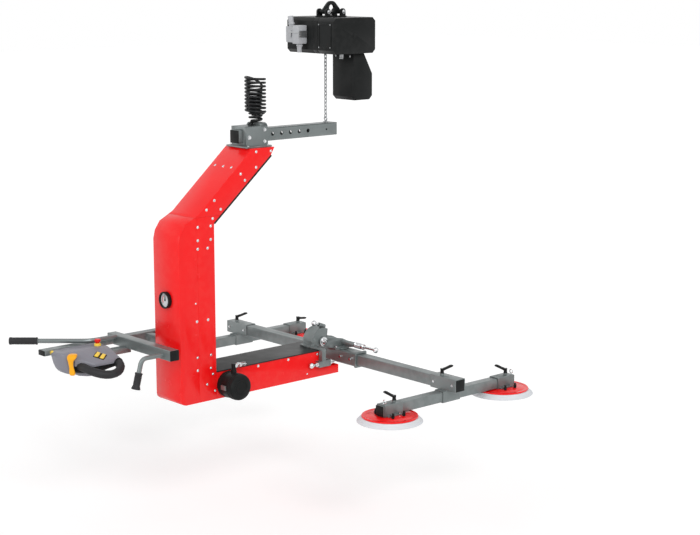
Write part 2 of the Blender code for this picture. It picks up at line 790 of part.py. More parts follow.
def make_load_tube():
    """The square tube that the lifter hangs on, with holes for setting the balance."""
    far = CHAIN_Y + LOAD_TUBE_PAST_CHAIN
    near = far - LOAD_TUBE_LENGTH
    middle = LOAD_TUBE_Z - LOAD_TUBE_SIZE / 2
    tube = square_tube("load_tube", "Y", (0, middle), LOAD_TUBE_SIZE, LOAD_TUBE_WALL, near, far, zinc())
    reach = LOAD_TUBE_SIZE
    for index in range(LOAD_HOLE_COUNT):
        place = (CHAIN_Y - LOAD_HOLE_FIRST + index * LOAD_HOLE_PITCH, middle + 0.001)
        cut(tube, rod("balance_hole", (-reach, *place), (reach, *place), LOAD_HOLE_RADIUS, None, 12))
    place = (CHAIN_Y - END_HOLE_BACK, middle)
    cut(tube, rod("end_hole", (-reach, *place), (reach, *place), END_HOLE_RADIUS, None, 10))
    stem = SWIVEL_STEM_RADIUS + SLIDE
    cut(tube, rod("stem_hole", (0, CHAIN_Y, middle), (0, CHAIN_Y, LOAD_TUBE_Z + reach), stem))
    pivot("chain_swivel_axis", (0, CHAIN_Y, LOAD_TUBE_Z), tube)
    return tube


HEAD_NEAR = CHAIN_Y + LOAD_TUBE_PAST_CHAIN - LOAD_TUBE_LENGTH + HEAD_BACK_GAP
HEAD_FAR = HEAD_NEAR + HEAD_LENGTH
HEAD_TOP = LOAD_TUBE_Z + SLIDE + HEAD_ROOF
HEAD_BOTTOM = LOAD_TUBE_Z - LOAD_TUBE_SIZE - SLIDE - HEAD_FLOOR
ARM_TOP = HEAD_BOTTOM - BASE_PLATE_THICKNESS + 0.0005 - TOUCH
COIL_Y = HEAD_NEAR + COIL_FROM_HEAD
COIL_BASE = HEAD_TOP + GLAND_HEIGHT + TOUCH


def make_head():
    """A sleeve round the load tube on a base plate, with the arched end plate and the cable gland."""
    half = HEAD_WIDTH / 2
    head = block("head_housing", (-half, HEAD_NEAR, HEAD_BOTTOM), (half, HEAD_FAR, HEAD_TOP), zinc())
    room = LOAD_TUBE_SIZE / 2 + SLIDE
    middle = LOAD_TUBE_Z - LOAD_TUBE_SIZE / 2
    cut(head, block("tube_room", (-room, HEAD_NEAR - 0.01, middle - room),
                    (room, HEAD_FAR + ARCH_THICKNESS, middle + room)))
    near = HEAD_NEAR - BASE_PLATE_FORWARD
    plate_half = BASE_PLATE_WIDTH / 2
    plate_top = HEAD_BOTTOM + 0.0005
    join(head, block("base_plate", (-plate_half, near, plate_top - BASE_PLATE_THICKNESS),
                     (plate_half, near + BASE_PLATE_LENGTH, plate_top)))
    arch_top = HEAD_TOP + ARCH_RISE
    bottom = HEAD_BOTTOM + 0.0002
    outline = [(half, bottom), (half, arch_top - 0.02)] + arc((half - 0.02, arch_top - 0.02), 0.02, 22.5, 90, 3)
    outline += arc((-half + 0.02, arch_top - 0.02), 0.02, 90, 157.5, 3) + [(-half, arch_top - 0.02), (-half, bottom)]
    mouth = [(room, middle - room), (room, middle + room), (-room, middle + room), (-room, middle - room)]
    join(head, plate("arch", [outline, mouth], "Y", HEAD_FAR - 0.001, HEAD_FAR + ARCH_THICKNESS))
    start = (0, COIL_Y - INNER_COIL_RADIUS)
    gland_top = HEAD_TOP + GLAND_HEIGHT
    join(head, rod("cable_gland", (*start, HEAD_TOP - 0.002), (*start, gland_top), GLAND_RADIUS, None, 12))
    return head


def make_spiral_cable():
    """The outer shape of the two nested coils in one turned ring, and the plug at the cable's far end."""
    half = CABLE_DIAMETER / 2
    step = COIL_BASE + OUTER_COIL_START
    top = step + OUTER_COIL_HEIGHT
    inner_top = COIL_BASE + INNER_COIL_HEIGHT
    profile = [(INNER_COIL_RADIUS - half, COIL_BASE), (INNER_COIL_RADIUS - half, inner_top),
               (OUTER_COIL_RADIUS - half, inner_top), (OUTER_COIL_RADIUS - half, top),
               (OUTER_COIL_RADIUS + half, top), (OUTER_COIL_RADIUS + half, step),
               (INNER_COIL_RADIUS + half, step), (INNER_COIL_RADIUS + half, COIL_BASE)]
    turned("spiral_cable", profile, (0, COIL_Y, 0), (0, 0, 1), black_plastic(), 24)
    outward_angle = math.radians(CONNECTOR_ANGLE)
    side = Vector((math.cos(outward_angle), math.sin(outward_angle), 0))
    along = Vector((-side.y, side.x, 0)) * (CONNECTOR_LENGTH / 2)
    middle = Vector((0, COIL_Y, step - TOUCH - CONNECTOR_RADIUS)) + side * OUTER_COIL_RADIUS
    rod("cable_connector", middle - along, middle + along, CONNECTOR_RADIUS, black_plastic(), 12)


FRONT = ahead(COLUMN_REACH)
BACK = FRONT + COLUMN_DEPTH
FOOT = level(COLUMN_BOTTOM)
HALF = COLUMN_WIDTH / 2


def column_outline(inset):
    """The side view of column and arm on (y, z), shrunk by inset."""
    inner_bend = level(COLUMN_INNER_BEND)
    front_bend = level(COLUMN_FRONT_BEND)
    arm_end = HEAD_NEAR - BASE_PLATE_FORWARD + BASE_PLATE_LENGTH
    arm_start = arm_end - ARM_TOP_LENGTH
    foot = FOOT_RADIUS - inset * 0.5
    slope = inset * 0.41
    shoulder = (FRONT + ARM_SHOULDER_BACK, front_bend + ARM_SHOULDER_RISE)
    bend = [(FRONT + inset, front_bend), (FRONT + 0.008 + inset, front_bend + 0.032 - slope),
            (FRONT + 0.030 + inset, front_bend + 0.064 - slope), (shoulder[0] + inset, shoulder[1] - slope)]
    points = [(BACK - inset, FOOT + inset), (BACK - inset, inner_bend + slope)]
    points += [(arm_end - ARM_UNDER_BACK - inset * 0.65, ARM_TOP - ARM_UNDER_DROP + slope * 0.5)]
    points += [(arm_end - inset, ARM_TOP - inset), (arm_start + inset * 0.5, ARM_TOP - inset)]
    points += list(reversed(bend))
    points += arc((FRONT + inset + foot, FOOT + inset + foot), foot, 180, 270, 3)
    return points


def body_shell(name):
    """The whole hollow sheet-metal body, of which each cover keeps its own share."""
    shell = plate(name, [column_outline(0)], "X", -HALF, HALF, red_paint())
    inside = plate(name + "_inside", [column_outline(SHEET)], "X", -HALF + SHEET, HALF - SHEET)
    return cut(shell, inside)


def make_body():
    seam_y = FRONT + FRONT_COVER_DEPTH
    seam_z = level(ARM_SEAM)
    wide = HALF + 0.02
    half_gap = TOUCH / 2
    front = body_shell("column_front_cover")
    low = (-wide, FRONT - 0.05, FOOT - 0.05)
    keep(front, block("front_share", low, (wide, seam_y - half_gap, seam_z - half_gap)))
    channel = body_shell("column_channel")
    low = (-wide, seam_y + half_gap, FOOT - 0.05)
    keep(channel, block("rear_share", low, (wide, BACK + 0.3, seam_z - half_gap)))
    arm = body_shell("arm_cover")
    low = (-wide, FRONT - 0.05, seam_z + half_gap)
    keep(arm, block("arm_share", low, (wide, BACK + 0.5, ARM_TOP + 0.05)))


def make_beam():
    """A red channel, open above, with a black cover plate on it."""
    near = BACK + TOUCH
    upper = ahead(BEAM_END_BACK)
    tail = ahead(BEAM_TAIL_BACK)
    top = FOOT + BEAM_HEIGHT
    step = FOOT + BEAM_TAIL_HEIGHT
    outline = [(near, FOOT), (tail, FOOT), (tail, step), (upper, step), (upper, top), (near, top)]
    beam = plate("beam_channel", [outline], "X", -HALF, HALF, red_paint())
    inner = HALF - SHEET
    floor = FOOT + SHEET
    cut(beam, block("beam_room", (-inner, near + SHEET, floor), (inner, upper - SHEET, top + 0.01)))
    cut(beam, block("tail_room", (-inner, upper, floor), (inner, tail - SHEET, step + 0.01)))
    wide = HALF + BEAM_COVER_OVERHANG
    block("beam_top_cover", (-wide, near, top + TOUCH), (wide, upper + 0.012, top + TOUCH + BEAM_COVER_THICKNESS),
          black_paint())


def make_pump():
    """The vacuum pump stands on the column's floor."""
    half = PUMP_WIDTH / 2
    floor = FOOT + SHEET + TOUCH
    near = FRONT + FOOT_RADIUS + 0.004
    pump = block("vacuum_pump", (-half, near, floor), (half, near + PUMP_DEPTH, floor + PUMP_HEIGHT), zinc())
    middle = (0, near + PUMP_DEPTH / 2)
    low = floor + PUMP_HEIGHT - 0.002
    return join(pump, rod("pump_motor", (*middle, low), (*middle, low + PUMP_MOTOR_HEIGHT), PUMP_MOTOR_RADIUS))


def make_gauge():
    """A cup-shaped case on the column's front, open towards the operator, with the needle inside."""
    centre = (0, FRONT - TOUCH, level(GAUGE_HEIGHT))
    inner = GAUGE_RADIUS - GAUGE_RIM
    post = 0.0015
    profile = [(0, 0), (GAUGE_RADIUS, 0), (GAUGE_RADIUS, GAUGE_DEPTH), (inner, GAUGE_DEPTH), (inner, GAUGE_BACK),
               (post, GAUGE_BACK), (post, GAUGE_BACK + 0.005), (0, GAUGE_BACK + 0.005)]
    turned("gauge_case", list(reversed(profile)), centre, (0, -1, 0), black_plastic())
    near = centre[1] - GAUGE_BACK - 0.002
    hub = [(x, centre[2] + z) for x, z in arc((0, 0), 0.004, -60, 240, 10)]
    outline = hub + [(-0.0008, centre[2] - 0.012), (0.0008, centre[2] - 0.012)]
    tip = [(x, 2 * centre[2] - z) for x, z in outline]
    stretch = (NEEDLE_LENGTH - 0.012)
    tip = [(x, z + stretch if z > centre[2] + 0.006 else z) for x, z in tip]
    bore = [(x, centre[2] + z) for x, z in arc((0, 0), post + 0.0004, 0, 330, 11)]
    needle = plate("gauge_needle", [tip, bore], "Y", near - NEEDLE_THICKNESS, near, black_plastic())
    pivot("gauge_needle_axis", (0, near, centre[2]), needle)


def make_filter():
    """A drum on the beam's side with a neck and an elbow nipple above it."""
    start = HALF + TOUCH
    middle = (BACK + FILTER_FORWARD, level(FILTER_HEIGHT))
    drum = rod("filter_housing", (start, *middle), (start + FILTER_LENGTH, *middle), FILTER_RADIUS, black_plastic(), 32)
    soften(drum, 0.003, 2)
    x = start + FILTER_LENGTH / 2
    top = middle[1] + FILTER_RADIUS
    elbow_z = top + ELBOW_RISE - ELBOW_RADIUS
    join(drum, rod("neck", (x, middle[0], top - 0.01), (x, middle[0], top + 0.014), NECK_RADIUS, None, 12))
    join(drum, rod("riser", (x, middle[0], top), (x, middle[0], elbow_z + ELBOW_RADIUS), ELBOW_RADIUS, None, 12))
    near = middle[0] - 0.004
    return join(drum, rod("nipple", (x, near, elbow_z - 0.001), (x, near + NIPPLE_LENGTH, elbow_z - 0.001),
                          ELBOW_RADIUS * 0.9, None, 12))


BAR_BACK = FRONT - BAR_FORWARD
BAR_MIDDLE = BAR_BACK - BAR_SIZE / 2
BAR_FRONT = BAR_BACK - BAR_SIZE
BAR_LEVEL = level(BAR_TOP) - BAR_SIZE / 2
TUBE_LEVEL = level(BAR_TOP) - 0.005


def beyond_bar(distance):
    """The y of a point that far beyond the crossbar, towards the operator."""
    return BAR_FRONT - distance


def outward():
    """The left handle's direction: towards the operator and outward."""
    return Vector((-math.sin(HANDLE_OUTWARD), -math.cos(HANDLE_OUTWARD), 0))


def downward():
    """The lower handle's direction: down, leaning towards the operator."""
    return Vector((0, -math.sin(DOWN_LEAN), -math.cos(DOWN_LEAN)))


def bend_route(start, corner, direction, length, radius, steps=6):
    """A straight run, a round bend and a straight run, as points."""
    start, corner = Vector(start), Vector(corner)
    first = (corner - start).normalized()
    entry = corner - first * radius
    leave = corner + direction * radius
    points = [start]
    for step in range(steps + 1):
        t = step / steps
        points.append(entry * (1 - t) ** 2 + corner * 2 * t * (1 - t) + leave * t ** 2)
    points.append(corner + direction * length)
    return points


LEFT_CORNER = Vector((BAR_LEFT + 0.055, BAR_FRONT - HANDLE_STRAIGHT, TUBE_LEVEL))
DOWN_CORNER = Vector((DOWN_HANDLE_X, BAR_FRONT - DOWN_STRAIGHT, BAR_LEVEL - 0.004))


def make_handle_frame():
    """Crossbar, rail, stubs to the column, two flat arms and two bent tubes, welded together."""
    half = BAR_SIZE / 2
    frame = square_tube("handle_frame", "X", (BAR_MIDDLE, BAR_LEVEL), BAR_SIZE, BAR_WALL, BAR_LEFT, BAR_RIGHT, zinc())
    low = level(BAR_TOP) - BAR_SIZE + 0.001
    high = level(BAR_TOP) - 0.001
    join(frame, square_tube("rail", "Y", (RAIL_LEFT, (low + high) / 2), high - low, BAR_WALL, BAR_BACK - 0.001,
                            BAR_BACK + RAIL_LENGTH))
    stub = STUB_SIZE / 2
    for y in (FRONT + 0.05, BACK - 0.03):
        join(frame, block("stub", (RAIL_LEFT + half - 0.002, y - stub, BAR_LEVEL - stub),
                          (-HALF - TOUCH, y + stub, BAR_LEVEL + stub)))
    left_top = level(BAR_TOP) - 0.017
    join(frame, block("left_flat", (BAR_LEFT, BAR_FRONT - LEFT_FLAT_LENGTH, left_top - ARM_FLAT_HEIGHT),
                      (BAR_LEFT + ARM_FLAT_WIDTH, BAR_FRONT + 0.001, left_top)))
    right_top = low + 0.002
    flat = ARM_FLAT_WIDTH / 2
    join(frame, block("right_flat", (RIGHT_FLAT_X - flat, beyond_bar(CONTROL_FAR_REACH) + TOUCH, right_top - ARM_FLAT_HEIGHT),
                      (RIGHT_FLAT_X + flat, BAR_MIDDLE, right_top)))
    left = bend_route((LEFT_CORNER.x, BAR_FRONT + 0.001, TUBE_LEVEL), LEFT_CORNER, outward(),
                      HANDLE_LENGTH + GRIP_LENGTH * 0.9, 0.03)
    join(frame, bent_tube("left_tube", left, HANDLE_TUBE_RADIUS, None, 2))
    down = bend_route((DOWN_CORNER.x, BAR_FRONT + 0.001, DOWN_CORNER.z), DOWN_CORNER, downward(),
                      DOWN_LENGTH + DOWN_GRIP_LENGTH * 0.85, 0.022)
    join(frame, bent_tube("down_tube", down, HANDLE_TUBE_RADIUS, None, 2))
    return frame


def grip(name, start, direction, length, flare):
    """A grip pushed over the end of a handle tube: a sleeve with a closed end."""
    bore = HANDLE_TUBE_RADIUS + TOUCH
    end = length - GRIP_CAP
    profile = [(0, length), (GRIP_RADIUS + flare, length), (GRIP_RADIUS, length * 0.8), (GRIP_RADIUS, 0),
               (bore, 0), (bore, end), (0, end)]
    return turned(name, profile, start, direction, black_plastic(), 16)


def make_grips():
    grip("left_grip", LEFT_CORNER + outward() * HANDLE_LENGTH, outward(), GRIP_LENGTH, 0)
    grip("down_grip", DOWN_CORNER + downward() * DOWN_LENGTH, downward(), DOWN_GRIP_LENGTH, DOWN_GRIP_FLARE)


def slope_fall():
    return math.atan2(SLOPE_DROP, SLOPE_WIDTH)


def button_place(side):
    """Where a button sits: turned onto the sloping face, then along it."""
    x = CONTROL_RIGHT - BUTTONS_BACK
    z = level(CONTROL_TOP) - (x - CONTROL_RIGHT + SLOPE_WIDTH) * math.tan(slope_fall())
    face = Matrix.Translation((x, beyond_bar(BUTTONS_FORWARD), z)) @ Matrix.Rotation(slope_fall(), 4, "Y")
    return face @ Matrix.Rotation(BUTTON_LEAN, 4, "Z") @ Matrix.Translation((side * BUTTON_STEP / 2, 0, 0))


def make_control_unit():
    """The housing beside the flat arms: a sloping face for the buttons and a cut corner for the lever."""
    near = beyond_bar(CONTROL_NEAR_REACH)
    far = beyond_bar(CONTROL_FAR_REACH)
    low = level(CONTROL_BOTTOM)
    high = level(CONTROL_TOP)
    inner = BAR_LEFT + ARM_FLAT_WIDTH + TOUCH
    housing = block("control_housing", (inner, near, low), (CONTROL_RIGHT, far, high), grey_plastic(), CONTROL_EDGE)
    deep = low - BELLY_DROP
    start, end = near + BELLY_INSET, near + BELLY_INSET + BELLY_LENGTH
    belly = [(start, low + 0.002), (start + BELLY_DROP * 0.4, low - BELLY_DROP * 0.65), (start + BELLY_DROP * 1.2, deep),
             (end - BELLY_DROP * 1.6, deep), (end - BELLY_DROP * 0.5, low - BELLY_DROP * 0.5), (end, low + 0.002)]
    join(housing, plate("belly", [belly], "X", inner + BELLY_INSET, CONTROL_RIGHT - BELLY_INSET))
    past = 0.02
    corner = [(CONTROL_RIGHT - CORNER_CUT - past, near - past), (CONTROL_RIGHT + past, near - past),
              (CONTROL_RIGHT + past, near + CORNER_CUT + past)]
    cut(housing, plate("corner", [corner], "Z", deep - past, high + past))
    fall = math.tan(slope_fall())
    slope = [(CONTROL_RIGHT - SLOPE_WIDTH, high), (CONTROL_RIGHT + past, high - SLOPE_DROP - past * fall),
             (CONTROL_RIGHT + past, high + past), (CONTROL_RIGHT - SLOPE_WIDTH, high + past)]
    cut(housing, plate("slope", [slope], "Y", near - past, far + past))
    room = BUTTON_LENGTH / 2 + SLIDE
    wide = BUTTON_WIDTH / 2 + SLIDE
    for side in (-1, 1):
        pocket = block("pocket", (-wide, -room, -BUTTON_POCKET), (wide, room, 0.01))
        pocket.data.transform(button_place(side))
        cut(housing, pocket)
    stop = (STOP_X, beyond_bar(STOP_FORWARD))
    join(housing, rod("collar", (*stop, high - 0.002), (*stop, high + COLLAR_HEIGHT), STOP_RADIUS + 0.001))
    bore = STOP_STEM_RADIUS + SLIDE
    cut(housing, rod("stem_bore", (*stop, high - 0.012), (*stop, high + COLLAR_HEIGHT + 0.01), bore))
    return housing


def make_d_handle():
    """The D-shaped grip: a drooping loop from the cut corner to the far end of the housing's right side."""
    start = beyond_bar(D_NEAR_REACH)
    inside = 0.02
    route = []
    for step in range(13):
        turn = math.pi * step / 12
        x = CONTROL_RIGHT + TOUCH - D_NEAR_DEPTH * (1 - step / 12) + D_REACH * math.sin(turn)
        y = start + D_SPAN * (1 - math.cos(turn)) / 2
        route.append((x, y, level(D_TOP) - D_TUBE_RADIUS - D_DROP * abs(math.sin(turn)) ** 1.5))
    route = [(route[0][0] - inside, *route[0][1:])] + route + [(route[-1][0] - inside, *route[-1][1:])]
    handle = bent_tube("control_d_handle", route, D_TUBE_RADIUS, black_plastic(), 3)
    near = beyond_bar(CONTROL_NEAR_REACH)
    side = CONTROL_RIGHT + TOUCH
    lean = TOUCH * math.sqrt(2)
    past = 0.06
    room = [(CONTROL_RIGHT - CORNER_CUT - past + lean, near - past), (side, near + CORNER_CUT + TOUCH - lean),
            (side, beyond_bar(CONTROL_FAR_REACH) + past), (side - CORNER_CUT - past, beyond_bar(CONTROL_FAR_REACH) + past),
            (side - CORNER_CUT - past, near - past)]
    cut(handle, plate("housing_room", [room], "Z", level(0), level(CONTROL_TOP) + past))
    return handle


def make_lever():
    """The orange lever hangs from its pivot on the housing's cut corner."""
    corner = Vector((CONTROL_RIGHT - CORNER_CUT, beyond_bar(CONTROL_NEAR_REACH), level(CONTROL_TOP) - LEVER_DROP))
    across = math.radians(45)
    along = Vector((math.cos(across), math.sin(across), 0))
    outward_way = Vector((math.cos(across), -math.sin(across), 0))
    place = corner + along * LEVER_ALONG + outward_way * TOUCH
    half = LEVER_THICKNESS / 2
    outline = arc((0, 0), half, 0, 180, 6)
    outline += [(-half * 0.8, -LEVER_LENGTH * 0.5), (-half, -LEVER_LENGTH * 0.85), (-half * 0.5, -LEVER_LENGTH),
                (half * 0.6, -LEVER_LENGTH), (half, -LEVER_LENGTH * 0.85), (half * 0.7, -LEVER_LENGTH * 0.45)]
    lever = plate("control_lever", [outline], "X", 0, LEVER_WIDTH, orange_plastic())
    lever.matrix_world = Matrix.Translation(place) @ Matrix.Rotation(-across, 4, "Z") @ lever.matrix_world
    pivot("control_lever_axis", place, lever)


def make_buttons():
    half = BUTTON_LENGTH / 2
    wide = BUTTON_WIDTH / 2
    low = BUTTON_TRAVEL + TOUCH - BUTTON_POCKET
    for name, side in (("suction_button", -1), ("release_button", 1)):
        button = block(name, (-wide, -half, low), (wide, half, BUTTON_STAND), yellow_plastic())
        button.data.transform(button_place(side))
        soften(button, 0.0015, 1)
        pivot(name + "_axis", button_place(side).translation, button)
    x, y = STOP_X, beyond_bar(STOP_FORWARD)
    high = level(CONTROL_TOP)
    base = high + COLLAR_HEIGHT + STOP_TRAVEL + TOUCH
    stop = rod("stop_button", (x, y, base), (x, y, base + STOP_HEAD), STOP_RADIUS, red_paint(), 20)
    soften(stop, 0.002, 1)
    join(stop, rod("stem", (x, y, high + 0.002 - 0.008), (x, y, base + 0.002), STOP_STEM_RADIUS, None, 12))
    pivot("stop_button_axis", (x, y, base), stop)


TILT_Y = ahead(TILT_BACK)
TILT_Z = level(TILT_HEIGHT)
BEAM_TOP = FOOT + BEAM_HEIGHT + TOUCH + BEAM_COVER_THICKNESS


def hood_plunger_point(distance):
    """A point on the hood plunger's axis, which slopes down away from the operator."""
    start = Vector((HOOD_PLUNGER_X, ahead(HOOD_PLUNGER_BACK), level(HOOD_PLUNGER_HEIGHT)))
    return start + Vector((0, math.cos(HOOD_PLUNGER_SLOPE), -math.sin(HOOD_PLUNGER_SLOPE))) * distance


def tilt_plunger_place():
    return HALF + TOUCH + GUIDE_SIZE / 2, level(TILT_PLUNGER_HEIGHT)


def make_beam_end_bracket():
    """Two cheeks and a curved hood on the beam's end, with the tilt axle and both plungers' guides."""
    inner = BRACKET_CHEEK_GAP / 2
    outer = inner + BRACKET_CHEEK
    foot = BEAM_TOP + TOUCH
    radius = BRACKET_RADIUS
    near = TILT_Y - radius - BRACKET_FOOT_LENGTH * 0.3
    bracket = block("beam_end_bracket", (-outer, near, foot), (outer, TILT_Y - radius * 0.55, foot + 0.006), zinc())
    hood = arc((TILT_Y, TILT_Z), radius, 74, 180, 10) + [(TILT_Y - radius, foot + 0.001)]
    hood += [(TILT_Y - radius + 0.003, foot + 0.001)] + arc((TILT_Y, TILT_Z), radius - 0.003, 180, 74, 10)
    join(bracket, plate("hood", [hood], "X", -outer + 0.0015, outer - 0.0015))
    rim = radius + 0.001
    cheek = arc((TILT_Y, TILT_Z), rim, 60, 180, 10) + [(TILT_Y - rim, foot + 0.0005)]
    cheek += [(TILT_Y - radius * 0.3, foot + 0.0005), (TILT_Y + radius * 0.35, TILT_Z - radius * 0.3)]
    for low, high in ((-outer, -inner), (inner, outer)):
        join(bracket, plate("cheek", [cheek], "X", low, high))
    nut_start = HEAD_PLATE_INNER + HEAD_PLATE_THICKNESS + SLIDE
    axle_half = nut_start + 0.001
    join(bracket, rod("axle", (-axle_half, TILT_Y, TILT_Z), (axle_half, TILT_Y, TILT_Z), AXLE_RADIUS, None, 14))
    for sign in (-1, 1):
        join(bracket, rod("dome_nut", (sign * nut_start, TILT_Y, TILT_Z), (sign * (nut_start + 0.012), TILT_Y, TILT_Z),
                          DOME_NUT_RADIUS, None, 12, DOME_NUT_RADIUS * 0.6))
    low, high = hood_plunger_point(HOOD_GUIDE_START), hood_plunger_point(HOOD_GUIDE_END)
    join(bracket, rod("hood_guide", low, high, HOOD_GUIDE_RADIUS))
    low, high = hood_plunger_point(HOOD_GUIDE_START - 0.01), hood_plunger_point(HOOD_GUIDE_END + 0.01)
    cut(bracket, rod("hood_guide_bore", low, high, PLUNGER_RADIUS + TOUCH))
    x, z = tilt_plunger_place()
    half = GUIDE_SIZE / 2
    near = ahead(TILT_PLUNGER_START) + 0.045
    join(bracket, block("guide", (x - half, near, z - half), (x + half, near + GUIDE_LENGTH, z + half)))
    clear = HALF + BEAM_COVER_OVERHANG + TOUCH
    arm = [(outer - 0.002, foot + 0.0002), (clear, foot + 0.0002), (clear, z + half - 0.001),
           (x + half - 0.001, z + half - 0.001), (x + half - 0.001, foot + 0.0055), (outer - 0.002, foot + 0.0055)]
    join(bracket, plate("guide_arm", [arm], "Y", near + 0.014, near + 0.034))
    bore = PLUNGER_RADIUS + TOUCH
    cut(bracket, rod("guide_bore", (x, near - 0.01, z), (x, near + GUIDE_LENGTH + 0.01, z), bore, None, 16))
    return bracket


def make_plunger(name, knob_centre, tip):
    """A pull plunger: a rod with a ball knob."""
    knob_centre = Vector(knob_centre)
    plunger = rod(name, knob_centre, tip, PLUNGER_RADIUS, steel())
    join(plunger, ball("knob", knob_centre, (PLUNGER_KNOB_RADIUS,) * 3, None, 8, 12))
    pivot(name + "_axis", knob_centre, plunger)


def make_plungers():
    x, z = tilt_plunger_place()
    near = ahead(TILT_PLUNGER_START) + PLUNGER_KNOB_RADIUS
    make_plunger("tilt_plunger", (x, near, z), (x, near + TILT_PLUNGER_LENGTH, z))
    make_plunger("hood_plunger", hood_plunger_point(0), hood_plunger_point(HOOD_PLUNGER_LENGTH))
    z = PLATE_HIGH + ROTATION_PLUNGER_RISE
    end = ROTATION_PLUNGER_REACH - PLUNGER_KNOB_RADIUS
    make_plunger("rotation_plunger", (end, TRAVERSE_Y, z), (HEAD_PLATE_INNER - 0.004, TRAVERSE_Y, z))


TRAVERSE_BOTTOM = LIP_HEIGHT + DISC_THICKNESS + 2 * TOUCH + SLEEVE_WALL + SLIDE + CROSS_SIZE + 2 * SLIDE + SLEEVE_PLATE
CROSS_BOTTOM = LIP_HEIGHT + DISC_THICKNESS + 2 * TOUCH + SLEEVE_WALL + SLIDE
TRAVERSE_Z = level(TRAVERSE_BOTTOM + TRAVERSE_SIZE / 2)
CROSS_Z = level(CROSS_BOTTOM + CROSS_SIZE / 2)
HUB_TOP = TRAVERSE_Z + TRAVERSE_SIZE / 2 + SLIDE + HUB_FLANGE + 0.004
PLATE_LOW = HUB_TOP + TOUCH
PLATE_HIGH = PLATE_LOW + BEARING_PLATE_THICKNESS
HEAD_PLATE_INNER = BRACKET_CHEEK_GAP / 2 + BRACKET_CHEEK + SLIDE


def make_tilt_head():
    """The bearing plate over the traverse, hung from the axle by two side plates, with the plunger's guide."""
    front = TRAVERSE_Y + BEARING_PLATE_REACH
    wide = BEARING_PLATE_WIDTH / 2
    head = block("tilt_head", (-wide, TRAVERSE_Y - BEARING_PLATE_REACH, PLATE_LOW), (wide, front, PLATE_HIGH), zinc())
    inner = HEAD_PLATE_INNER
    outer = inner + HEAD_PLATE_THICKNESS
    side = arc((TILT_Y, TILT_Z), HEAD_BOSS_RADIUS, 90, 235, 6)
    side += [(TRAVERSE_Y - BEARING_PLATE_REACH + 0.002, PLATE_LOW + 0.001), (front - 0.004, PLATE_LOW + 0.001)]
    side += [(front - 0.004, PLATE_HIGH + 0.004), (TRAVERSE_Y, PLATE_HIGH + 0.028)]
    for low, high in ((-outer, -inner), (inner, outer)):
        join(head, plate("side_plate", [side], "X", low, high))
    bolt = KING_BOLT_RADIUS
    join(head, rod("king_bolt", (0, TRAVERSE_Y, HUB_TOP - 0.010), (0, TRAVERSE_Y, PLATE_HIGH + 0.004), bolt))
    top = PLATE_HIGH + 0.018
    join(head, rod("king_nut", (0, TRAVERSE_Y, PLATE_HIGH - 0.001), (0, TRAVERSE_Y, top), bolt * 1.7, None, 6))
    z = PLATE_HIGH + ROTATION_PLUNGER_RISE
    end = ROTATION_GUIDE_REACH
    join(head, rod("guide", (outer - 0.001, TRAVERSE_Y, z), (end, TRAVERSE_Y, z), ROTATION_GUIDE_RADIUS))
    wedge = [(outer - 0.001, PLATE_LOW + 0.001), (wide - 0.001, PLATE_LOW + 0.001), (end - 0.012, z), (outer - 0.001, z)]
    join(head, plate("wedge", [wedge], "Y", TRAVERSE_Y - 0.004, TRAVERSE_Y + 0.004))
    cut(head, rod("axle_bore", (-0.1, TILT_Y, TILT_Z), (0.1, TILT_Y, TILT_Z), AXLE_RADIUS + SLIDE))
    bore = PLUNGER_RADIUS + TOUCH
    cut(head, rod("plunger_bore", (inner - 0.005, TRAVERSE_Y, z), (end + 0.01, TRAVERSE_Y, z), bore))
    pivot("tilt_axis", (0, TILT_Y, TILT_Z), head)


def make_hub():
    """The sleeve in the traverse's middle, with end flanges and the disc that turns under the bearing plate."""
    half = HUB_SLEEVE_LENGTH / 2
    centre = (TRAVERSE_Y, TRAVERSE_Z)
    size = TRAVERSE_SIZE + 2 * SLIDE
    wall = HUB_FLANGE
    hub = square_tube("rotation_hub", "X", centre, size + 2 * wall, wall, -half, half, zinc())
    for sign in (-1, 1):
        low, high = sorted((sign * (half - 0.0005), sign * (half - HUB_FLANGE_THICKNESS)))
        flange = square(centre, size + 2 * wall + 0.008, 0.004)
        mouth = square(centre, size + wall, wall * 0.6)
        join(hub, plate("flange", [flange, mouth], "X", low, high))
    disc_low = TRAVERSE_Z + size / 2 + wall * 0.5
    join(hub, rod("disc", (0, TRAVERSE_Y, disc_low), (0, TRAVERSE_Y, HUB_TOP), HUB_DISC_RADIUS, None, 32))
    bore = KING_BOLT_RADIUS + SLIDE
    cut(hub, rod("king_bore", (0, TRAVERSE_Y, HUB_TOP - 0.0104), (0, TRAVERSE_Y, HUB_TOP + 0.02), bore))
    half_length = TRAVERSE_LENGTH / 2
    traverse = square_tube("traverse_tube", "X", centre, TRAVERSE_SIZE, TUBE_WALL, -half_length, half_length, zinc())
    cut(traverse, rod("king_room", (0, TRAVERSE_Y, TRAVERSE_Z), (0, TRAVERSE_Y, HUB_TOP + 0.02), bore))
    pivot("rotation_axis", (0, TRAVERSE_Y, HUB_TOP), hub, traverse)


def wing_lever(name, x, y, base, direction, axis_name):
    """A wing clamp lever: a tapered hub and a blade that rises to one side."""
    hub_top = base + WING_HUB_HEIGHT
    lever = rod(name, (x, y, base), (x, y, hub_top), WING_HUB_RADIUS, black_plastic(), 12, WING_HUB_RADIUS * 0.75)
    dx, dy = direction
    middle = (x + dx * WING_REACH * 0.55, y + dy * WING_REACH * 0.55, hub_top - WING_THICKNESS * 0.4 + WING_RISE * 0.4)
    along = WING_REACH * 0.5
    across = WING_HUB_RADIUS
    radii = (along if dx else across, along if dy else across, WING_THICKNESS * 0.6)
    join(lever, ball("blade", middle, radii, None, 6, 10))
    pivot(axis_name, (x, y, base), lever)


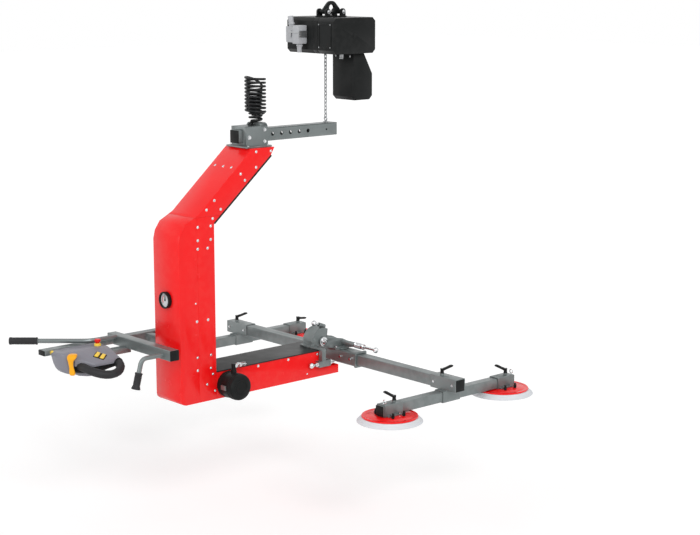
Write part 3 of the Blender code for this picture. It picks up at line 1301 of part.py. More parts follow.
def make_cross_unit(side, sign):
    """One cross slider on the traverse with its cross tube and wing lever."""
    x = sign * CROSS_SPREAD
    size = TRAVERSE_SIZE + 2 * SLIDE
    half = SLIDER_LENGTH / 2
    slider = square_tube("cross_slider_" + side, "X", (TRAVERSE_Y, TRAVERSE_Z), size + 2 * SLEEVE_WALL, SLEEVE_WALL,
                         x - half, x + half, zinc())
    lower = CROSS_SIZE + 2 * SLIDE
    reach = LOWER_SLEEVE_LENGTH / 2
    join(slider, square_tube("lower_sleeve", "Y", (x, CROSS_Z), lower + 2 * SLEEVE_WALL, SLEEVE_WALL,
                             TRAVERSE_Y - reach, TRAVERSE_Y + reach))
    top = TRAVERSE_Z + size / 2 + SLEEVE_WALL
    lever_x = x - 0.030
    join(slider, rod("stud", (lever_x, TRAVERSE_Y, top - 0.001), (lever_x, TRAVERSE_Y, top + STUD_HEIGHT), STUD_RADIUS * 2,
                     None, 12))
    length = CROSS_LENGTH / 2
    tube = square_tube("cross_tube_" + side, "Y", (x, CROSS_Z), CROSS_SIZE, TUBE_WALL, TRAVERSE_Y - length,
                       TRAVERSE_Y + length, zinc())
    pivot("cross_" + side + "_axis", (x, TRAVERSE_Y, TRAVERSE_Z), slider, tube)
    base = top + STUD_HEIGHT + TOUCH
    wing_lever("traverse_lever_" + side, lever_x, TRAVERSE_Y, base, (0, 1), "traverse_lever_" + side + "_axis")


def make_pad(place, x_sign, y_sign):
    """A suction pad: carrier on the cross tube, red disc, sealing lip and wing lever."""
    x = x_sign * CROSS_SPREAD
    y = TRAVERSE_Y + y_sign * PAD_SPREAD
    disc_low = level(LIP_HEIGHT + TOUCH)
    disc_high = disc_low + DISC_THICKNESS
    foot = LIP_RADIUS - LIP_FOOT
    profile = [(LIP_TOP_RADIUS, LIP_HEIGHT), (LIP_RADIUS, LIP_EDGE), (LIP_RADIUS, 0), (foot, 0),
               (LIP_TOP_RADIUS - LIP_SEAT, LIP_HEIGHT - 0.004), (LIP_TOP_RADIUS - LIP_SEAT, LIP_HEIGHT)]
    lip = turned("pad_lip_" + place, profile, (x, y, level(0)), (0, 0, 1), white_rubber(), 32)
    disc = rod("pad_disc_" + place, (x, y, disc_low), (x, y, disc_high), DISC_RADIUS, red_paint(), 32)
    size = CROSS_SIZE + 2 * SLIDE
    half = CARRIER_LENGTH / 2
    carrier = square_tube("pad_carrier_" + place, "Y", (x, CROSS_Z), size + 2 * SLEEVE_WALL, SLEEVE_WALL,
                          y - half, y + half, zinc())
    foot_half = CARRIER_FOOT_LENGTH / 2
    foot_top = CROSS_Z - size / 2 - 0.0003
    wide = CARRIER_FOOT_WIDTH / 2
    inner = size / 2 + SLEEVE_WALL - 0.001
    for low, high in ((-wide, -inner), (inner, wide)):
        join(carrier, block("foot", (x + low, y - foot_half, disc_high + TOUCH),
                            (x + high, y + foot_half, foot_top + 0.004)))
    top = CROSS_Z + size / 2 + SLEEVE_WALL
    lever_y = y + 0.022
    join(carrier, rod("stud", (x, lever_y, top - 0.001), (x, lever_y, top + STUD_HEIGHT), STUD_RADIUS * 2, None, 12))
    pivot("pad_" + place + "_axis", (x, y, CROSS_Z), carrier, disc, lip)
    base = top + STUD_HEIGHT + TOUCH
    wing_lever("pad_lever_" + place, x, lever_y, base, (-x_sign, 0), "pad_lever_" + place + "_axis")


PADS = (("front_right", 1, -1), ("back_right", 1, 1), ("front_left", -1, -1), ("back_left", -1, 1))


def main():
    clear_scene()
    make_hoist()
    make_hoist_motor()
    make_chain_wheel()
    make_suspension()
    make_connector_box()
    make_chain_container()
    make_chain()
    make_load_tube()
    make_head()
    make_spiral_cable()
    make_body()
    make_beam()
    make_pump()
    make_gauge()
    make_filter()
    make_handle_frame()
    make_grips()
    make_control_unit()
    make_d_handle()
    make_lever()
    make_buttons()
    make_beam_end_bracket()
    make_tilt_head()
    make_plungers()
    make_hub()
    for side, sign in (("left", -1), ("right", 1)):
        make_cross_unit(side, sign)
    for place, x_sign, y_sign in PADS:
        make_pad(place, x_sign, y_sign)


main()
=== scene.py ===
# %% [markdown]
# # The looks of a vacuum lifter
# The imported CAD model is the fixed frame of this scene. It already has every part at its real size and place.
# This script only adds looks: round edges, screws, ribs, a coiled cable, paint, zinc and rubber.
# Each cell does one job, so that a reader who is learning Blender can run them one by one.

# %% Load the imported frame
import json
import math

import bmesh
import bpy
from mathutils import Matrix, Vector


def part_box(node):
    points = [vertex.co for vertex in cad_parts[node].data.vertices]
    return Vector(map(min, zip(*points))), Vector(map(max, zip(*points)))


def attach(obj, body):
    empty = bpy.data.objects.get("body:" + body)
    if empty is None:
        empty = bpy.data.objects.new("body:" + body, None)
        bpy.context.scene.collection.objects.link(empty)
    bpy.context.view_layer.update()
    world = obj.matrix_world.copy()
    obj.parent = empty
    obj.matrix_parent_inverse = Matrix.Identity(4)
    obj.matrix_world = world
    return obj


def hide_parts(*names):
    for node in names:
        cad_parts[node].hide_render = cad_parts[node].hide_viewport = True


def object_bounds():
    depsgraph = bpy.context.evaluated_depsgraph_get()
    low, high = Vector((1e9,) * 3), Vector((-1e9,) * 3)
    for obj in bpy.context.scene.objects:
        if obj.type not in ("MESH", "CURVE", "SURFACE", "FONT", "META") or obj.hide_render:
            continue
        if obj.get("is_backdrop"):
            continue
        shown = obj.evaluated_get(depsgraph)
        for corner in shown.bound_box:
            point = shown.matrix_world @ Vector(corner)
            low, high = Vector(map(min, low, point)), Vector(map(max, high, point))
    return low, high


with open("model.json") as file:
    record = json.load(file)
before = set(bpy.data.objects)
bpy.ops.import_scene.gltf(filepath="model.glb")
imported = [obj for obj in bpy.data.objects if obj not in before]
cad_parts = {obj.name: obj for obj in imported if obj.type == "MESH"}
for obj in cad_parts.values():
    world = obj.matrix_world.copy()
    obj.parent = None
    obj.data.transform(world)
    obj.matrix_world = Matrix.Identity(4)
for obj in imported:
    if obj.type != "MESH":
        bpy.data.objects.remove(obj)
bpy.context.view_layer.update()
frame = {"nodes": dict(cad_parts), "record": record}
body_of = {}
for body_name, members in frame["record"]["behaviour"]["bodies"].items():
    for member in members:
        body_of[member] = body_name
slot_of = {part["node"]: part["material_slot"] for part in frame["record"]["subparts"]}

# %% [markdown]
# ## The camera
# The photograph looks down a little on the lifter from its right front corner. Its place was
# worked out from points on the pads, the beam and the column.

# %% Camera
CAMERA_PLACE = Vector((4.905, -4.300, 0.188))
CAMERA_TURN = math.radians(48.1)
CAMERA_DROP = math.radians(10.7)
CAMERA_LENS = 83.8

camera_data = bpy.data.cameras.new("camera")
camera_data.lens = CAMERA_LENS
camera_data.sensor_width = 36
camera = bpy.data.objects.new("camera", camera_data)
bpy.context.scene.collection.objects.link(camera)
level = math.cos(CAMERA_DROP)
look = Vector((-math.sin(CAMERA_TURN) * level, math.cos(CAMERA_TURN) * level, -math.sin(CAMERA_DROP)))
camera.location = CAMERA_PLACE
camera.rotation_euler = look.to_track_quat("-Z", "Y").to_euler()
bpy.context.scene.camera = camera

# %% [markdown]
# ## Effects that several finishes share
# Real surfaces are never one flat colour. Four small shader groups give them life.
# Fine grain gives a height for a Bump node. Worn edges mix in a paler colour where the mesh turns sharply.
# Handling marks vary the roughness. Cloudy tone mixes two colours in soft patches, as zinc plating does.
# A group puts out colours, values and heights only, and the shader itself stays in each material.


# %% Node helpers
def new_group(name, inputs, outputs):
    """An empty shader group with named inputs and outputs."""
    tree = bpy.data.node_groups.new(name, "ShaderNodeTree")
    for label, kind in inputs:
        tree.interface.new_socket(label, in_out="INPUT", socket_type="NodeSocket" + kind)
    for label, kind in outputs:
        tree.interface.new_socket(label, in_out="OUTPUT", socket_type="NodeSocket" + kind)
    return tree, tree.nodes.new("NodeGroupInput"), tree.nodes.new("NodeGroupOutput")


def noise(tree, scale, detail=3):
    """A noise texture on object coordinates. Scale is a number or an output socket."""
    place = tree.nodes.new("ShaderNodeTexCoord")
    texture = tree.nodes.new("ShaderNodeTexNoise")
    texture.inputs["Detail"].default_value = detail
    tree.links.new(place.outputs["Object"], texture.inputs["Vector"])
    if isinstance(scale, (int, float)):
        texture.inputs["Scale"].default_value = scale
    else:
        tree.links.new(scale, texture.inputs["Scale"])
    return texture.outputs["Fac"]


def spread(tree, value, low, high, to_low=0.0, to_high=1.0):
    """A Map Range node from one span of values to another."""
    node = tree.nodes.new("ShaderNodeMapRange")
    tree.links.new(value, node.inputs["Value"])
    for label, number in (("From Min", low), ("From Max", high), ("To Min", to_low), ("To Max", to_high)):
        node.inputs[label].default_value = number
    return node.outputs["Result"]


def calculate(tree, operation, first, second):
    """One Math node, of which either input may be a number or a socket."""
    node = tree.nodes.new("ShaderNodeMath")
    node.operation = operation
    for place, value in enumerate((first, second)):
        if isinstance(value, (int, float)):
            node.inputs[place].default_value = value
        else:
            tree.links.new(value, node.inputs[place])
    return node.outputs[0]


def mix_colour(tree, factor, first, second):
    """A colour mix between two sockets."""
    node = tree.nodes.new("ShaderNodeMix")
    node.data_type = "RGBA"
    tree.links.new(factor, node.inputs["Factor"])
    tree.links.new(first, node.inputs["A"])
    tree.links.new(second, node.inputs["B"])
    return node.outputs["Result"]


# %% Shared effect: fine grain
def make_fine_grain():
    """A height that changes finely, for a Bump node."""
    tree, start, end = new_group("fine_grain", [("Scale", "Float")], [("Height", "Float")])
    tree.links.new(noise(tree, start.outputs["Scale"], 4), end.inputs["Height"])
    return tree


# %% Shared effect: worn edges
SHARP_SPAN = (0.53, 0.62)
WEAR_SCALE = 35
WEAR_SPAN = (0.42, 0.62)


def make_worn_edges():
    """A paler colour in patches where the mesh turns sharply."""
    inputs = [("Colour", "Color"), ("Edge Colour", "Color"), ("Amount", "Float")]
    tree, start, end = new_group("worn_edges", inputs, [("Colour", "Color")])
    geometry = tree.nodes.new("ShaderNodeNewGeometry")
    edge = spread(tree, geometry.outputs["Pointiness"], *SHARP_SPAN)
    patchy = spread(tree, noise(tree, WEAR_SCALE, 5), *WEAR_SPAN)
    worn = calculate(tree, "MULTIPLY", edge, patchy)
    mask = calculate(tree, "MULTIPLY", worn, start.outputs["Amount"])
    mixed = mix_colour(tree, mask, start.outputs["Colour"], start.outputs["Edge Colour"])
    tree.links.new(mixed, end.inputs["Colour"])
    return tree


# %% Shared effect: handling marks
MARKS_SPAN = (0.3, 0.7)


def make_handling_marks():
    """A roughness that changes softly, as where hands and cloths have rubbed."""
    inputs = [("Roughness", "Float"), ("Spread", "Float"), ("Scale", "Float")]
    tree, start, end = new_group("handling_marks", inputs, [("Roughness", "Float")])
    cloud = spread(tree, noise(tree, start.outputs["Scale"], 5), *MARKS_SPAN, -0.5, 0.5)
    change = calculate(tree, "MULTIPLY", cloud, start.outputs["Spread"])
    tree.links.new(calculate(tree, "ADD", start.outputs["Roughness"], change), end.inputs["Roughness"])
    return tree


# %% Shared effect: cloudy tone
TONE_SPAN = (0.35, 0.65)


def make_cloudy_tone():
    """Two close colours in soft patches."""
    inputs = [("Light", "Color"), ("Dark", "Color"), ("Scale", "Float")]
    tree, start, end = new_group("cloudy_tone", inputs, [("Colour", "Color")])
    patches = spread(tree, noise(tree, start.outputs["Scale"], 6), *TONE_SPAN)
    mixed = mix_colour(tree, patches, start.outputs["Light"], start.outputs["Dark"])
    tree.links.new(mixed, end.inputs["Colour"])
    return tree


FINE_GRAIN = make_fine_grain()
WORN_EDGES = make_worn_edges()
HANDLING_MARKS = make_handling_marks()
CLOUDY_TONE = make_cloudy_tone()

# %% [markdown]
# ## The finishes
# Each finish is one material of its own, made by a short function.
# All of them use the same wiring: cloudy tone, then worn edges into the colour, marks into the roughness,
# and grain into a Bump node. Only the numbers differ, so the wiring is written once.
# The numbers after the name are its light, dark and edge colours, how much its edges are worn, its roughness
# and how much that varies, and the scale and depth of its grain. Metallic is 1 for bare metal, patch is the
# scale of its clouds, and shine is how strongly it reflects where it isn't metal.

# %% Wiring that every finish uses
MARKS_SCALE = 14.0
BUMP_STRENGTH = 0.35


def finish_of(name, light, dark, edge, wear, roughness, marks, grain, grain_depth, metallic=0.0, patch=6.0,
              shine=0.3):
    """A Principled material from the four shared effects."""
    material = bpy.data.materials.new(name)
    material.use_nodes = True
    tree = material.node_tree
    shader = tree.nodes["Principled BSDF"]
    shader.inputs["Metallic"].default_value = metallic
    shader.inputs["Specular IOR Level"].default_value = shine

    def place_group(group, values):
        node = tree.nodes.new("ShaderNodeGroup")
        node.node_tree = group
        for label, value in values.items():
            node.inputs[label].default_value = value
        return node

    tone = place_group(CLOUDY_TONE, {"Light": (*light, 1), "Dark": (*dark, 1), "Scale": patch})
    worn = place_group(WORN_EDGES, {"Edge Colour": (*edge, 1), "Amount": wear})
    tree.links.new(tone.outputs["Colour"], worn.inputs["Colour"])
    tree.links.new(worn.outputs["Colour"], shader.inputs["Base Color"])
    rough = place_group(HANDLING_MARKS, {"Roughness": roughness, "Spread": marks, "Scale": MARKS_SCALE})
    tree.links.new(rough.outputs["Roughness"], shader.inputs["Roughness"])
    height = place_group(FINE_GRAIN, {"Scale": grain})
    bump = tree.nodes.new("ShaderNodeBump")
    bump.inputs["Strength"].default_value = BUMP_STRENGTH
    bump.inputs["Distance"].default_value = grain_depth
    tree.links.new(height.outputs["Height"], bump.inputs["Height"])
    tree.links.new(bump.outputs["Normal"], shader.inputs["Normal"])
    return material


# %% Red powder coat
def red_coat():
    """Baked red paint on folded sheet, with a thin clear gloss."""
    material = finish_of("red_coat", (0.92, 0.007, 0.008), (0.89, 0.006, 0.007), (0.95, 0.10, 0.08), 0.22,
                         0.25, 0.05, 420, 0.00012, shine=0.22)
    shader = material.node_tree.nodes["Principled BSDF"]
    shader.inputs["Coat Weight"].default_value = 0.12
    shader.inputs["Coat Roughness"].default_value = 0.10
    return material


# %% Black powder coat
def black_coat():
    """Baked black paint, matt, which wears to dark grey at its edges."""
    return finish_of("black_coat", (0.010, 0.011, 0.011), (0.007, 0.008, 0.008), (0.05, 0.05, 0.05), 0.40,
                     0.40, 0.08, 600, 0.0002, shine=0.14)


# %% Satin zinc on tubes and plates
def zinc():
    """Zinc-plated steel, cloudy grey and half dull."""
    return finish_of("zinc", (0.205, 0.230, 0.230), (0.170, 0.192, 0.192), (0.45, 0.48, 0.48), 0.40,
                     0.36, 0.10, 260, 0.00008, metallic=0.50, patch=7.0)


# %% Chain and motor steel
def steel():
    """Plain steel, in soft patches of lighter and darker grey, paler at worn edges."""
    return finish_of("steel", (0.48, 0.49, 0.50), (0.38, 0.39, 0.40), (0.75, 0.76, 0.77), 0.5,
                     0.30, 0.12, 500, 0.0001, metallic=0.85, patch=25.0)


# %% Polished steel of knobs and nuts
def bright_steel():
    """Chromed or polished steel, which mirrors the pale room."""
    return finish_of("bright_steel", (0.70, 0.71, 0.72), (0.62, 0.63, 0.64), (0.9, 0.9, 0.9), 0.3,
                     0.14, 0.05, 700, 0.00003, metallic=1.0, patch=20.0)


# %% Cast aluminium of the pump
def pump_aluminium():
    """Cast aluminium with a coarse skin."""
    return finish_of("pump_aluminium", (0.52, 0.53, 0.54), (0.44, 0.45, 0.46), (0.7, 0.7, 0.7), 0.4,
                     0.50, 0.12, 350, 0.0004, metallic=0.9)


# %% Black moulded plastic
def black_plastic():
    """Black plastic with the fine grain of its mould."""
    return finish_of("black_plastic", (0.010, 0.011, 0.011), (0.007, 0.008, 0.008), (0.04, 0.04, 0.04), 0.35,
                     0.46, 0.08, 900, 0.00015, shine=0.14)


# %% Grey moulded plastic
def grey_plastic():
    """Grey plastic of the control unit's shell, a little blue."""
    return finish_of("grey_plastic", (0.235, 0.235, 0.27), (0.215, 0.215, 0.25), (0.34, 0.34, 0.38), 0.30,
                     0.34, 0.08, 900, 0.00015)


# %% Light grey plastic of the plug
def light_grey_plastic():
    """Pale grey plastic of the plug and its glands."""
    return finish_of("light_grey_plastic", (0.44, 0.45, 0.47), (0.41, 0.42, 0.44), (0.60, 0.60, 0.62), 0.3,
                     0.34, 0.08, 800, 0.00015)


# %% Orange lever plastic
def orange_plastic():
    """Smooth orange plastic, easy to find with a gloved hand."""
    return finish_of("orange_plastic", (0.95, 0.43, 0.012), (0.92, 0.40, 0.011), (1.0, 0.55, 0.12), 0.3,
                     0.24, 0.06, 700, 0.0001, shine=0.25)


# %% Yellow button plastic
def yellow_plastic():
    """Smooth yellow plastic of the two buttons and the stop button's collar."""
    return finish_of("yellow_plastic", (0.95, 0.66, 0.08), (0.92, 0.62, 0.07), (1.0, 0.78, 0.25), 0.3,
                     0.24, 0.06, 700, 0.0001, shine=0.25)


# %% Red button plastic
def red_plastic():
    """Smooth red plastic of the stop button."""
    return finish_of("red_plastic", (0.82, 0.010, 0.010), (0.78, 0.009, 0.009), (0.95, 0.12, 0.1), 0.3,
                     0.24, 0.06, 700, 0.0001, shine=0.25)


# %% Grip rubber
def grip_rubber():
    """Soft dark rubber, dull and grained for the hand."""
    return finish_of("grip_rubber", (0.030, 0.030, 0.032), (0.024, 0.024, 0.026), (0.07, 0.07, 0.07), 0.3,
                     0.58, 0.10, 1200, 0.0003, shine=0.22)


# %% Cable rubber
def cable_rubber():
    """Smooth black rubber of the spiral cable."""
    return finish_of("cable_rubber", (0.009, 0.010, 0.011), (0.007, 0.008, 0.009), (0.03, 0.03, 0.03), 0.2,
                     0.34, 0.08, 900, 0.0001, patch=30.0, shine=0.25)


# %% White sealing rubber
def white_rubber():
    """Pale rubber of the pads' sealing lips."""
    return finish_of("white_rubber", (0.72, 0.74, 0.77), (0.68, 0.70, 0.73), (0.80, 0.82, 0.84), 0.3,
                     0.48, 0.08, 800, 0.0001)


# %% All finishes by their slot's name
MAKERS = (red_coat, black_coat, zinc, steel, bright_steel, pump_aluminium, black_plastic, grey_plastic,
          light_grey_plastic, orange_plastic, yellow_plastic, red_plastic, grip_rubber, cable_rubber,
          white_rubber)
FINISHES = {make.__name__: make() for make in MAKERS}
print("finishes:", len(FINISHES))

# %% [markdown]
# ## Helpers that make and place a piece
# A piece is one mesh that rides on one body and takes its finish from one slot.
# Lofts join rings of points, lathes spin a profile, and sweeps push a round section along a path.
# These three make nearly every shape on a machine, and a bevel rounds what is left.

# %% Finish a piece
WELD_DISTANCE = 1e-6
SMOOTH_ANGLE = 38
made = []


def tell(what):
    """Prints how many pieces were made since it last told."""
    print(what + ":", len(made), "pieces")
    made.clear()


def join_meshes(name, meshes):
    """Several meshes as one."""
    bm = bmesh.new()
    for mesh in meshes:
        bm.from_mesh(mesh)
    result = bpy.data.meshes.new(name)
    bm.to_mesh(result)
    bm.free()
    for mesh in meshes:
        bpy.data.meshes.remove(mesh)
    return result


def piece(name, body, slot, *meshes, smooth=SMOOTH_ANGLE, stands_for=()):
    """One finished piece: joined, smooth-shaded, painted, and riding on its body."""
    mesh = join_meshes(name, meshes)
    mesh.materials.append(FINISHES[slot])
    mesh.shade_smooth()
    mesh.set_sharp_from_angle(angle=math.radians(smooth))
    obj = bpy.data.objects.new(name, mesh)
    bpy.context.scene.collection.objects.link(obj)
    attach(obj, body)
    if stands_for:
        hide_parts(*stands_for)
    made.append(name)
    return obj


# %% Shape helpers
FULL_TURN = 2 * math.pi
BEVEL_SEGMENTS = 2


def loft(rings, cap=True, close=False):
    """Faces between rings of the same number of points."""
    bm = bmesh.new()
    rows = [[bm.verts.new(point) for point in ring] for ring in rings]
    pairs = list(zip(rows, rows[1:]))
    if close:
        pairs.append((rows[-1], rows[0]))
    count = len(rows[0])
    for first, second in pairs:
        for index in range(count):
            after = (index + 1) % count
            bm.faces.new((first[index], first[after], second[after], second[index]))
    if cap and not close:
        bm.faces.new(list(reversed(rows[0])))
        bm.faces.new(rows[-1])
    bmesh.ops.remove_doubles(bm, verts=bm.verts, dist=WELD_DISTANCE)
    bmesh.ops.recalc_face_normals(bm, faces=bm.faces)
    mesh = bpy.data.meshes.new("loft")
    bm.to_mesh(mesh)
    bm.free()
    return mesh


def ring(centre, direction, radius, count):
    """Points on a circle round a direction."""
    turn = Vector(direction).to_track_quat("Z", "X")
    points = []
    for index in range(count):
        angle = FULL_TURN * index / count
        local = Vector((math.cos(angle) * radius, math.sin(angle) * radius, 0))
        points.append(Vector(centre) + turn @ local)
    return points


def lathe(profile, origin, direction, count=64, close=False):
    """A profile of (radius, distance along direction) spun round."""
    direction = Vector(direction).normalized()
    rings = [ring(Vector(origin) + direction * along, direction, radius, count) for radius, along in profile]
    return loft(rings, cap=False, close=close)


def sweep(points, radii, count):
    """A round section pushed along a path, with its radius at each point."""
    rings = []
    across = (points[1] - points[0]).normalized().orthogonal().normalized()
    steps = [FULL_TURN * step / count for step in range(count)]
    for index, (point, radius) in enumerate(zip(points, radii)):
        before = points[max(index - 1, 0)]
        after = points[min(index + 1, len(points) - 1)]
        along = (after - before).normalized()
        across = (across - along * across.dot(along)).normalized()
        side = along.cross(across)
        rings.append([point + (across * math.cos(a) + side * math.sin(a)) * radius for a in steps])
    return loft(rings)


def slab(low, high, edge):
    """A box with round edges, or with sharp ones where edge is 0."""
    low, high = Vector(low), Vector(high)
    bm = bmesh.new()
    size = high - low
    middle = (high + low) / 2
    bmesh.ops.create_cube(bm, size=1, matrix=Matrix.Translation(middle) @ Matrix.Diagonal((*size, 1)))
    if edge:
        bmesh.ops.bevel(bm, geom=bm.edges[:], offset=edge, segments=BEVEL_SEGMENTS, profile=0.5,
                        affect="EDGES")
    mesh = bpy.data.meshes.new("slab")
    bm.to_mesh(mesh)
    bm.free()
    return mesh


def moved(mesh, matrix):
    """The mesh itself, moved and turned."""
    mesh.transform(matrix)
    return mesh


# %% Evaluate modifiers into a plain mesh
def settled(obj):
    """The object's mesh with its modifiers applied, and the object gone."""
    bpy.context.view_layer.update()
    graph = bpy.context.evaluated_depsgraph_get()
    mesh = bpy.data.meshes.new_from_object(obj.evaluated_get(graph))
    bpy.data.objects.remove(obj)
    mesh.materials.clear()
    return mesh


def carve(mesh, cutters):
    """A mesh with other meshes cut away."""
    obj = bpy.data.objects.new("carved", mesh)
    bpy.context.scene.collection.objects.link(obj)
    tools = []
    for cutter in cutters:
        tool = bpy.data.objects.new("cutter", cutter)
        bpy.context.scene.collection.objects.link(tool)
        tools.append(tool)
        boolean = obj.modifiers.new("cut", "BOOLEAN")
        boolean.operation = "DIFFERENCE"
        boolean.solver = "EXACT"
        boolean.object = tool
    result = settled(obj)
    for tool in tools:
        bpy.data.objects.remove(tool)
    return result


# %% Round a CAD node's edges
FLAT_ANGLE = 0.5


def rounded_copy(node, width):
    """A CAD node's mesh, welded and bevelled."""
    bm = bmesh.new()
    bm.from_mesh(frame["nodes"][node].data)
    bmesh.ops.remove_doubles(bm, verts=bm.verts, dist=WELD_DISTANCE)
    bmesh.ops.dissolve_limit(bm, angle_limit=math.radians(FLAT_ANGLE), verts=bm.verts, edges=bm.edges)
    mesh = bpy.data.meshes.new(node)
    bm.to_mesh(mesh)
    bm.free()
    mesh.shade_smooth()
    obj = bpy.data.objects.new(node, mesh)
    bpy.context.scene.collection.objects.link(obj)
    bevel = obj.modifiers.new("round", "BEVEL")
    bevel.width = width
    bevel.segments = BEVEL_SEGMENTS
    bevel.limit_method = "ANGLE"
    bevel.angle_limit = math.radians(SMOOTH_ANGLE)
    bevel.harden_normals = True
    return settled(obj)


def dress(node, width):
    """A node's rounded copy stands for it, in the finish that its slot names."""
    piece(node + "_finished", body_of[node], slot_of[node], rounded_copy(node, width), stands_for=(node,))


# %% [markdown]
# ## The spiral cable
# A coiled control cable comes up out of a gland on the head. It winds up in a narrow coil, crosses outward at
# the top and winds down again in a wider coil, to its plug behind.

# %% Route of the spiral cable
CABLE_DIAMETER = 0.009
COIL_CENTRE = (0.0, -0.387)
INNER_RADIUS = 0.0235
OUTER_RADIUS = 0.0378
CABLE_EXIT = (0.0, -0.4105, -0.4255)
EXIT_ANGLE = -90
EXIT_RISE = 0.005
INNER_TOP = -0.2990
OUTER_TOP = -0.2540
OUTER_BOTTOM = -0.3857
INNER_TURNS = 8.25
CROSSING_TURNS = 0.6
OUTER_TURNS = 9
LEAVING_ANGLE = 60
LEAVING_POINTS = 6
PLUG_LEVEL = -0.398
PLUG_ANGLE = 138
PLUG_HALF = 0.018
POINTS_PER_TURN = 32


def coil_point(angle, radius, z):
    """A point round the coil's centre."""
    return Vector((COIL_CENTRE[0] + radius * math.cos(angle), COIL_CENTRE[1] + radius * math.sin(angle), z))


def ease(t):
    """A share from 0 to 1 that starts and ends gently."""
    return t * t * (3 - 2 * t)


def between(first, last, t):
    """The value at a share t of the way from the first to the last."""
    return first + (last - first) * t


def cable_route():
    """The centre line of the cable from its gland to its plug."""
    step = FULL_TURN / POINTS_PER_TURN
    angle = math.radians(EXIT_ANGLE)
    points = [Vector(CABLE_EXIT)]
    inner_steps = round(INNER_TURNS * POINTS_PER_TURN)
    rise = (INNER_TOP - CABLE_EXIT[2] - EXIT_RISE) / inner_steps
    for index in range(1, inner_steps + 1):
        angle += step
        along = index * step * INNER_RADIUS
        z = CABLE_EXIT[2] + EXIT_RISE * (1 - math.exp(-along / EXIT_RISE)) + rise * index
        points.append(coil_point(angle, INNER_RADIUS, z))
    crossing_steps = round(CROSSING_TURNS * POINTS_PER_TURN)
    for index in range(1, crossing_steps + 1):
        angle += step
        t = ease(index / crossing_steps)
        points.append(coil_point(angle, between(INNER_RADIUS, OUTER_RADIUS, t),
                                 between(INNER_TOP, OUTER_TOP, t)))
    plug_angle = math.radians(PLUG_ANGLE) - math.atan(PLUG_HALF / OUTER_RADIUS)
    plug_radius = math.hypot(OUTER_RADIUS, PLUG_HALF)
    while plug_angle < angle + OUTER_TURNS * FULL_TURN:
        plug_angle += FULL_TURN
    leave = plug_angle - math.radians(LEAVING_ANGLE)
    outer_steps = round((leave - angle) / step)
    for index in range(1, outer_steps + 1):
        t = index / outer_steps
        points.append(coil_point(between(angle, leave, t), OUTER_RADIUS, between(OUTER_TOP, OUTER_BOTTOM, t)))
    for index in range(1, LEAVING_POINTS + 1):
        t = index / LEAVING_POINTS
        points.append(coil_point(between(leave, plug_angle, t), between(OUTER_RADIUS, plug_radius, t * t),
                                 between(OUTER_BOTTOM, PLUG_LEVEL, ease(t))))
    return points


route = cable_route()

# %% Turns of the spiral cable
curve = bpy.data.curves.new("spiral_cable_turns", "CURVE")
curve.dimensions = "3D"
spline = curve.splines.new("POLY")
spline.points.add(len(route) - 1)
for point, place in zip(spline.points, route):
    point.co = (*place, 1)
curve.bevel_depth = CABLE_DIAMETER / 2
curve.bevel_resolution = 4
curve.use_fill_caps = True
curve.materials.append(FINISHES["cable_rubber"])
cable = bpy.data.objects.new("spiral_cable_turns", curve)
bpy.context.scene.collection.objects.link(cable)
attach(cable, "frame")
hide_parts("spiral_cable")

# %% Strain relief and plug
SLEEVE_POINTS = 7
SLEEVE_RADIUS = 0.0078
SLEEVE_TAPER = 0.0028
sleeve_radii = [SLEEVE_RADIUS - SLEEVE_TAPER * index / (SLEEVE_POINTS - 1) for index in range(SLEEVE_POINTS)]
sleeve = piece("cable_sleeve", "frame", "black_plastic", sweep(route[1:1 + SLEEVE_POINTS], sleeve_radii, 20))
plug_middle = coil_point(math.radians(PLUG_ANGLE), OUTER_RADIUS, PLUG_LEVEL)
plug_along = Vector((-math.sin(math.radians(PLUG_ANGLE)), math.cos(math.radians(PLUG_ANGLE)), 0))
plug_profile = [(0, -PLUG_HALF), (0.0056, -PLUG_HALF), (0.0070, -0.013), (0.0075, -0.012), (0.0075, -0.002),
                (0.0068, -0.001), (0.0068, 0.002), (0.0075, 0.003), (0.0075, 0.017), (0.0068, PLUG_HALF),
                (0, PLUG_HALF)]
cable_plug = piece("cable_plug", "frame", "black_plastic", lathe(plug_profile, plug_middle, plug_along, 32),
                   stands_for=("cable_connector",))
tell("cable ends")

# %% [markdown]
# ## Geometry Nodes for what repeats
# Screws, chain links, ribs, springs and dial ticks repeat, so each is a node tree with named sizes.
# Python gives the tree a mesh of bare points, and Instance on Points puts one copy on each.
# Realize Instances turns the copies into real faces, because the export drops instances.


# %% Tree helpers
def new_tree(name, **sizes):
    """An empty Geometry Nodes tree with named inputs, and one for its material."""
    tree = bpy.data.node_groups.new(name, "GeometryNodeTree")
    tree.interface.new_socket("Geometry", in_out="INPUT", socket_type="NodeSocketGeometry")
    for label, kind in {**sizes, "Material": "Material"}.items():
        tree.interface.new_socket(label, in_out="INPUT", socket_type="NodeSocket" + kind)
    tree.interface.new_socket("Geometry", in_out="OUTPUT", socket_type="NodeSocketGeometry")
    return tree, tree.nodes.new("NodeGroupInput"), tree.nodes.new("NodeGroupOutput")


def add(tree, kind, links=None, values=None, **settings):
    """A node with its settings, values and links."""
    node = tree.nodes.new(kind)
    for label, value in settings.items():
        setattr(node, label, value)
    for label, value in (values or {}).items():
        node.inputs[label].default_value = value
    for label, socket in (links or {}).items():
        tree.links.new(socket, node.inputs[label])
    return node


def times(tree, value, factor):
    return calculate(tree, "MULTIPLY", value, factor)


def vector_of(tree, **parts):
    """A vector put together from sockets for its X, Y and Z."""
    return add(tree, "ShaderNodeCombineXYZ", parts).outputs[0]


def turn_from(tree, angles):
    """A rotation from a vector of angles."""
    return add(tree, "FunctionNodeEulerToRotation", {"Euler": angles}).outputs["Rotation"]


def scaled(tree, shape, size):
    return add(tree, "GeometryNodeTransform", {"Geometry": shape, "Scale": size}).outputs["Geometry"]


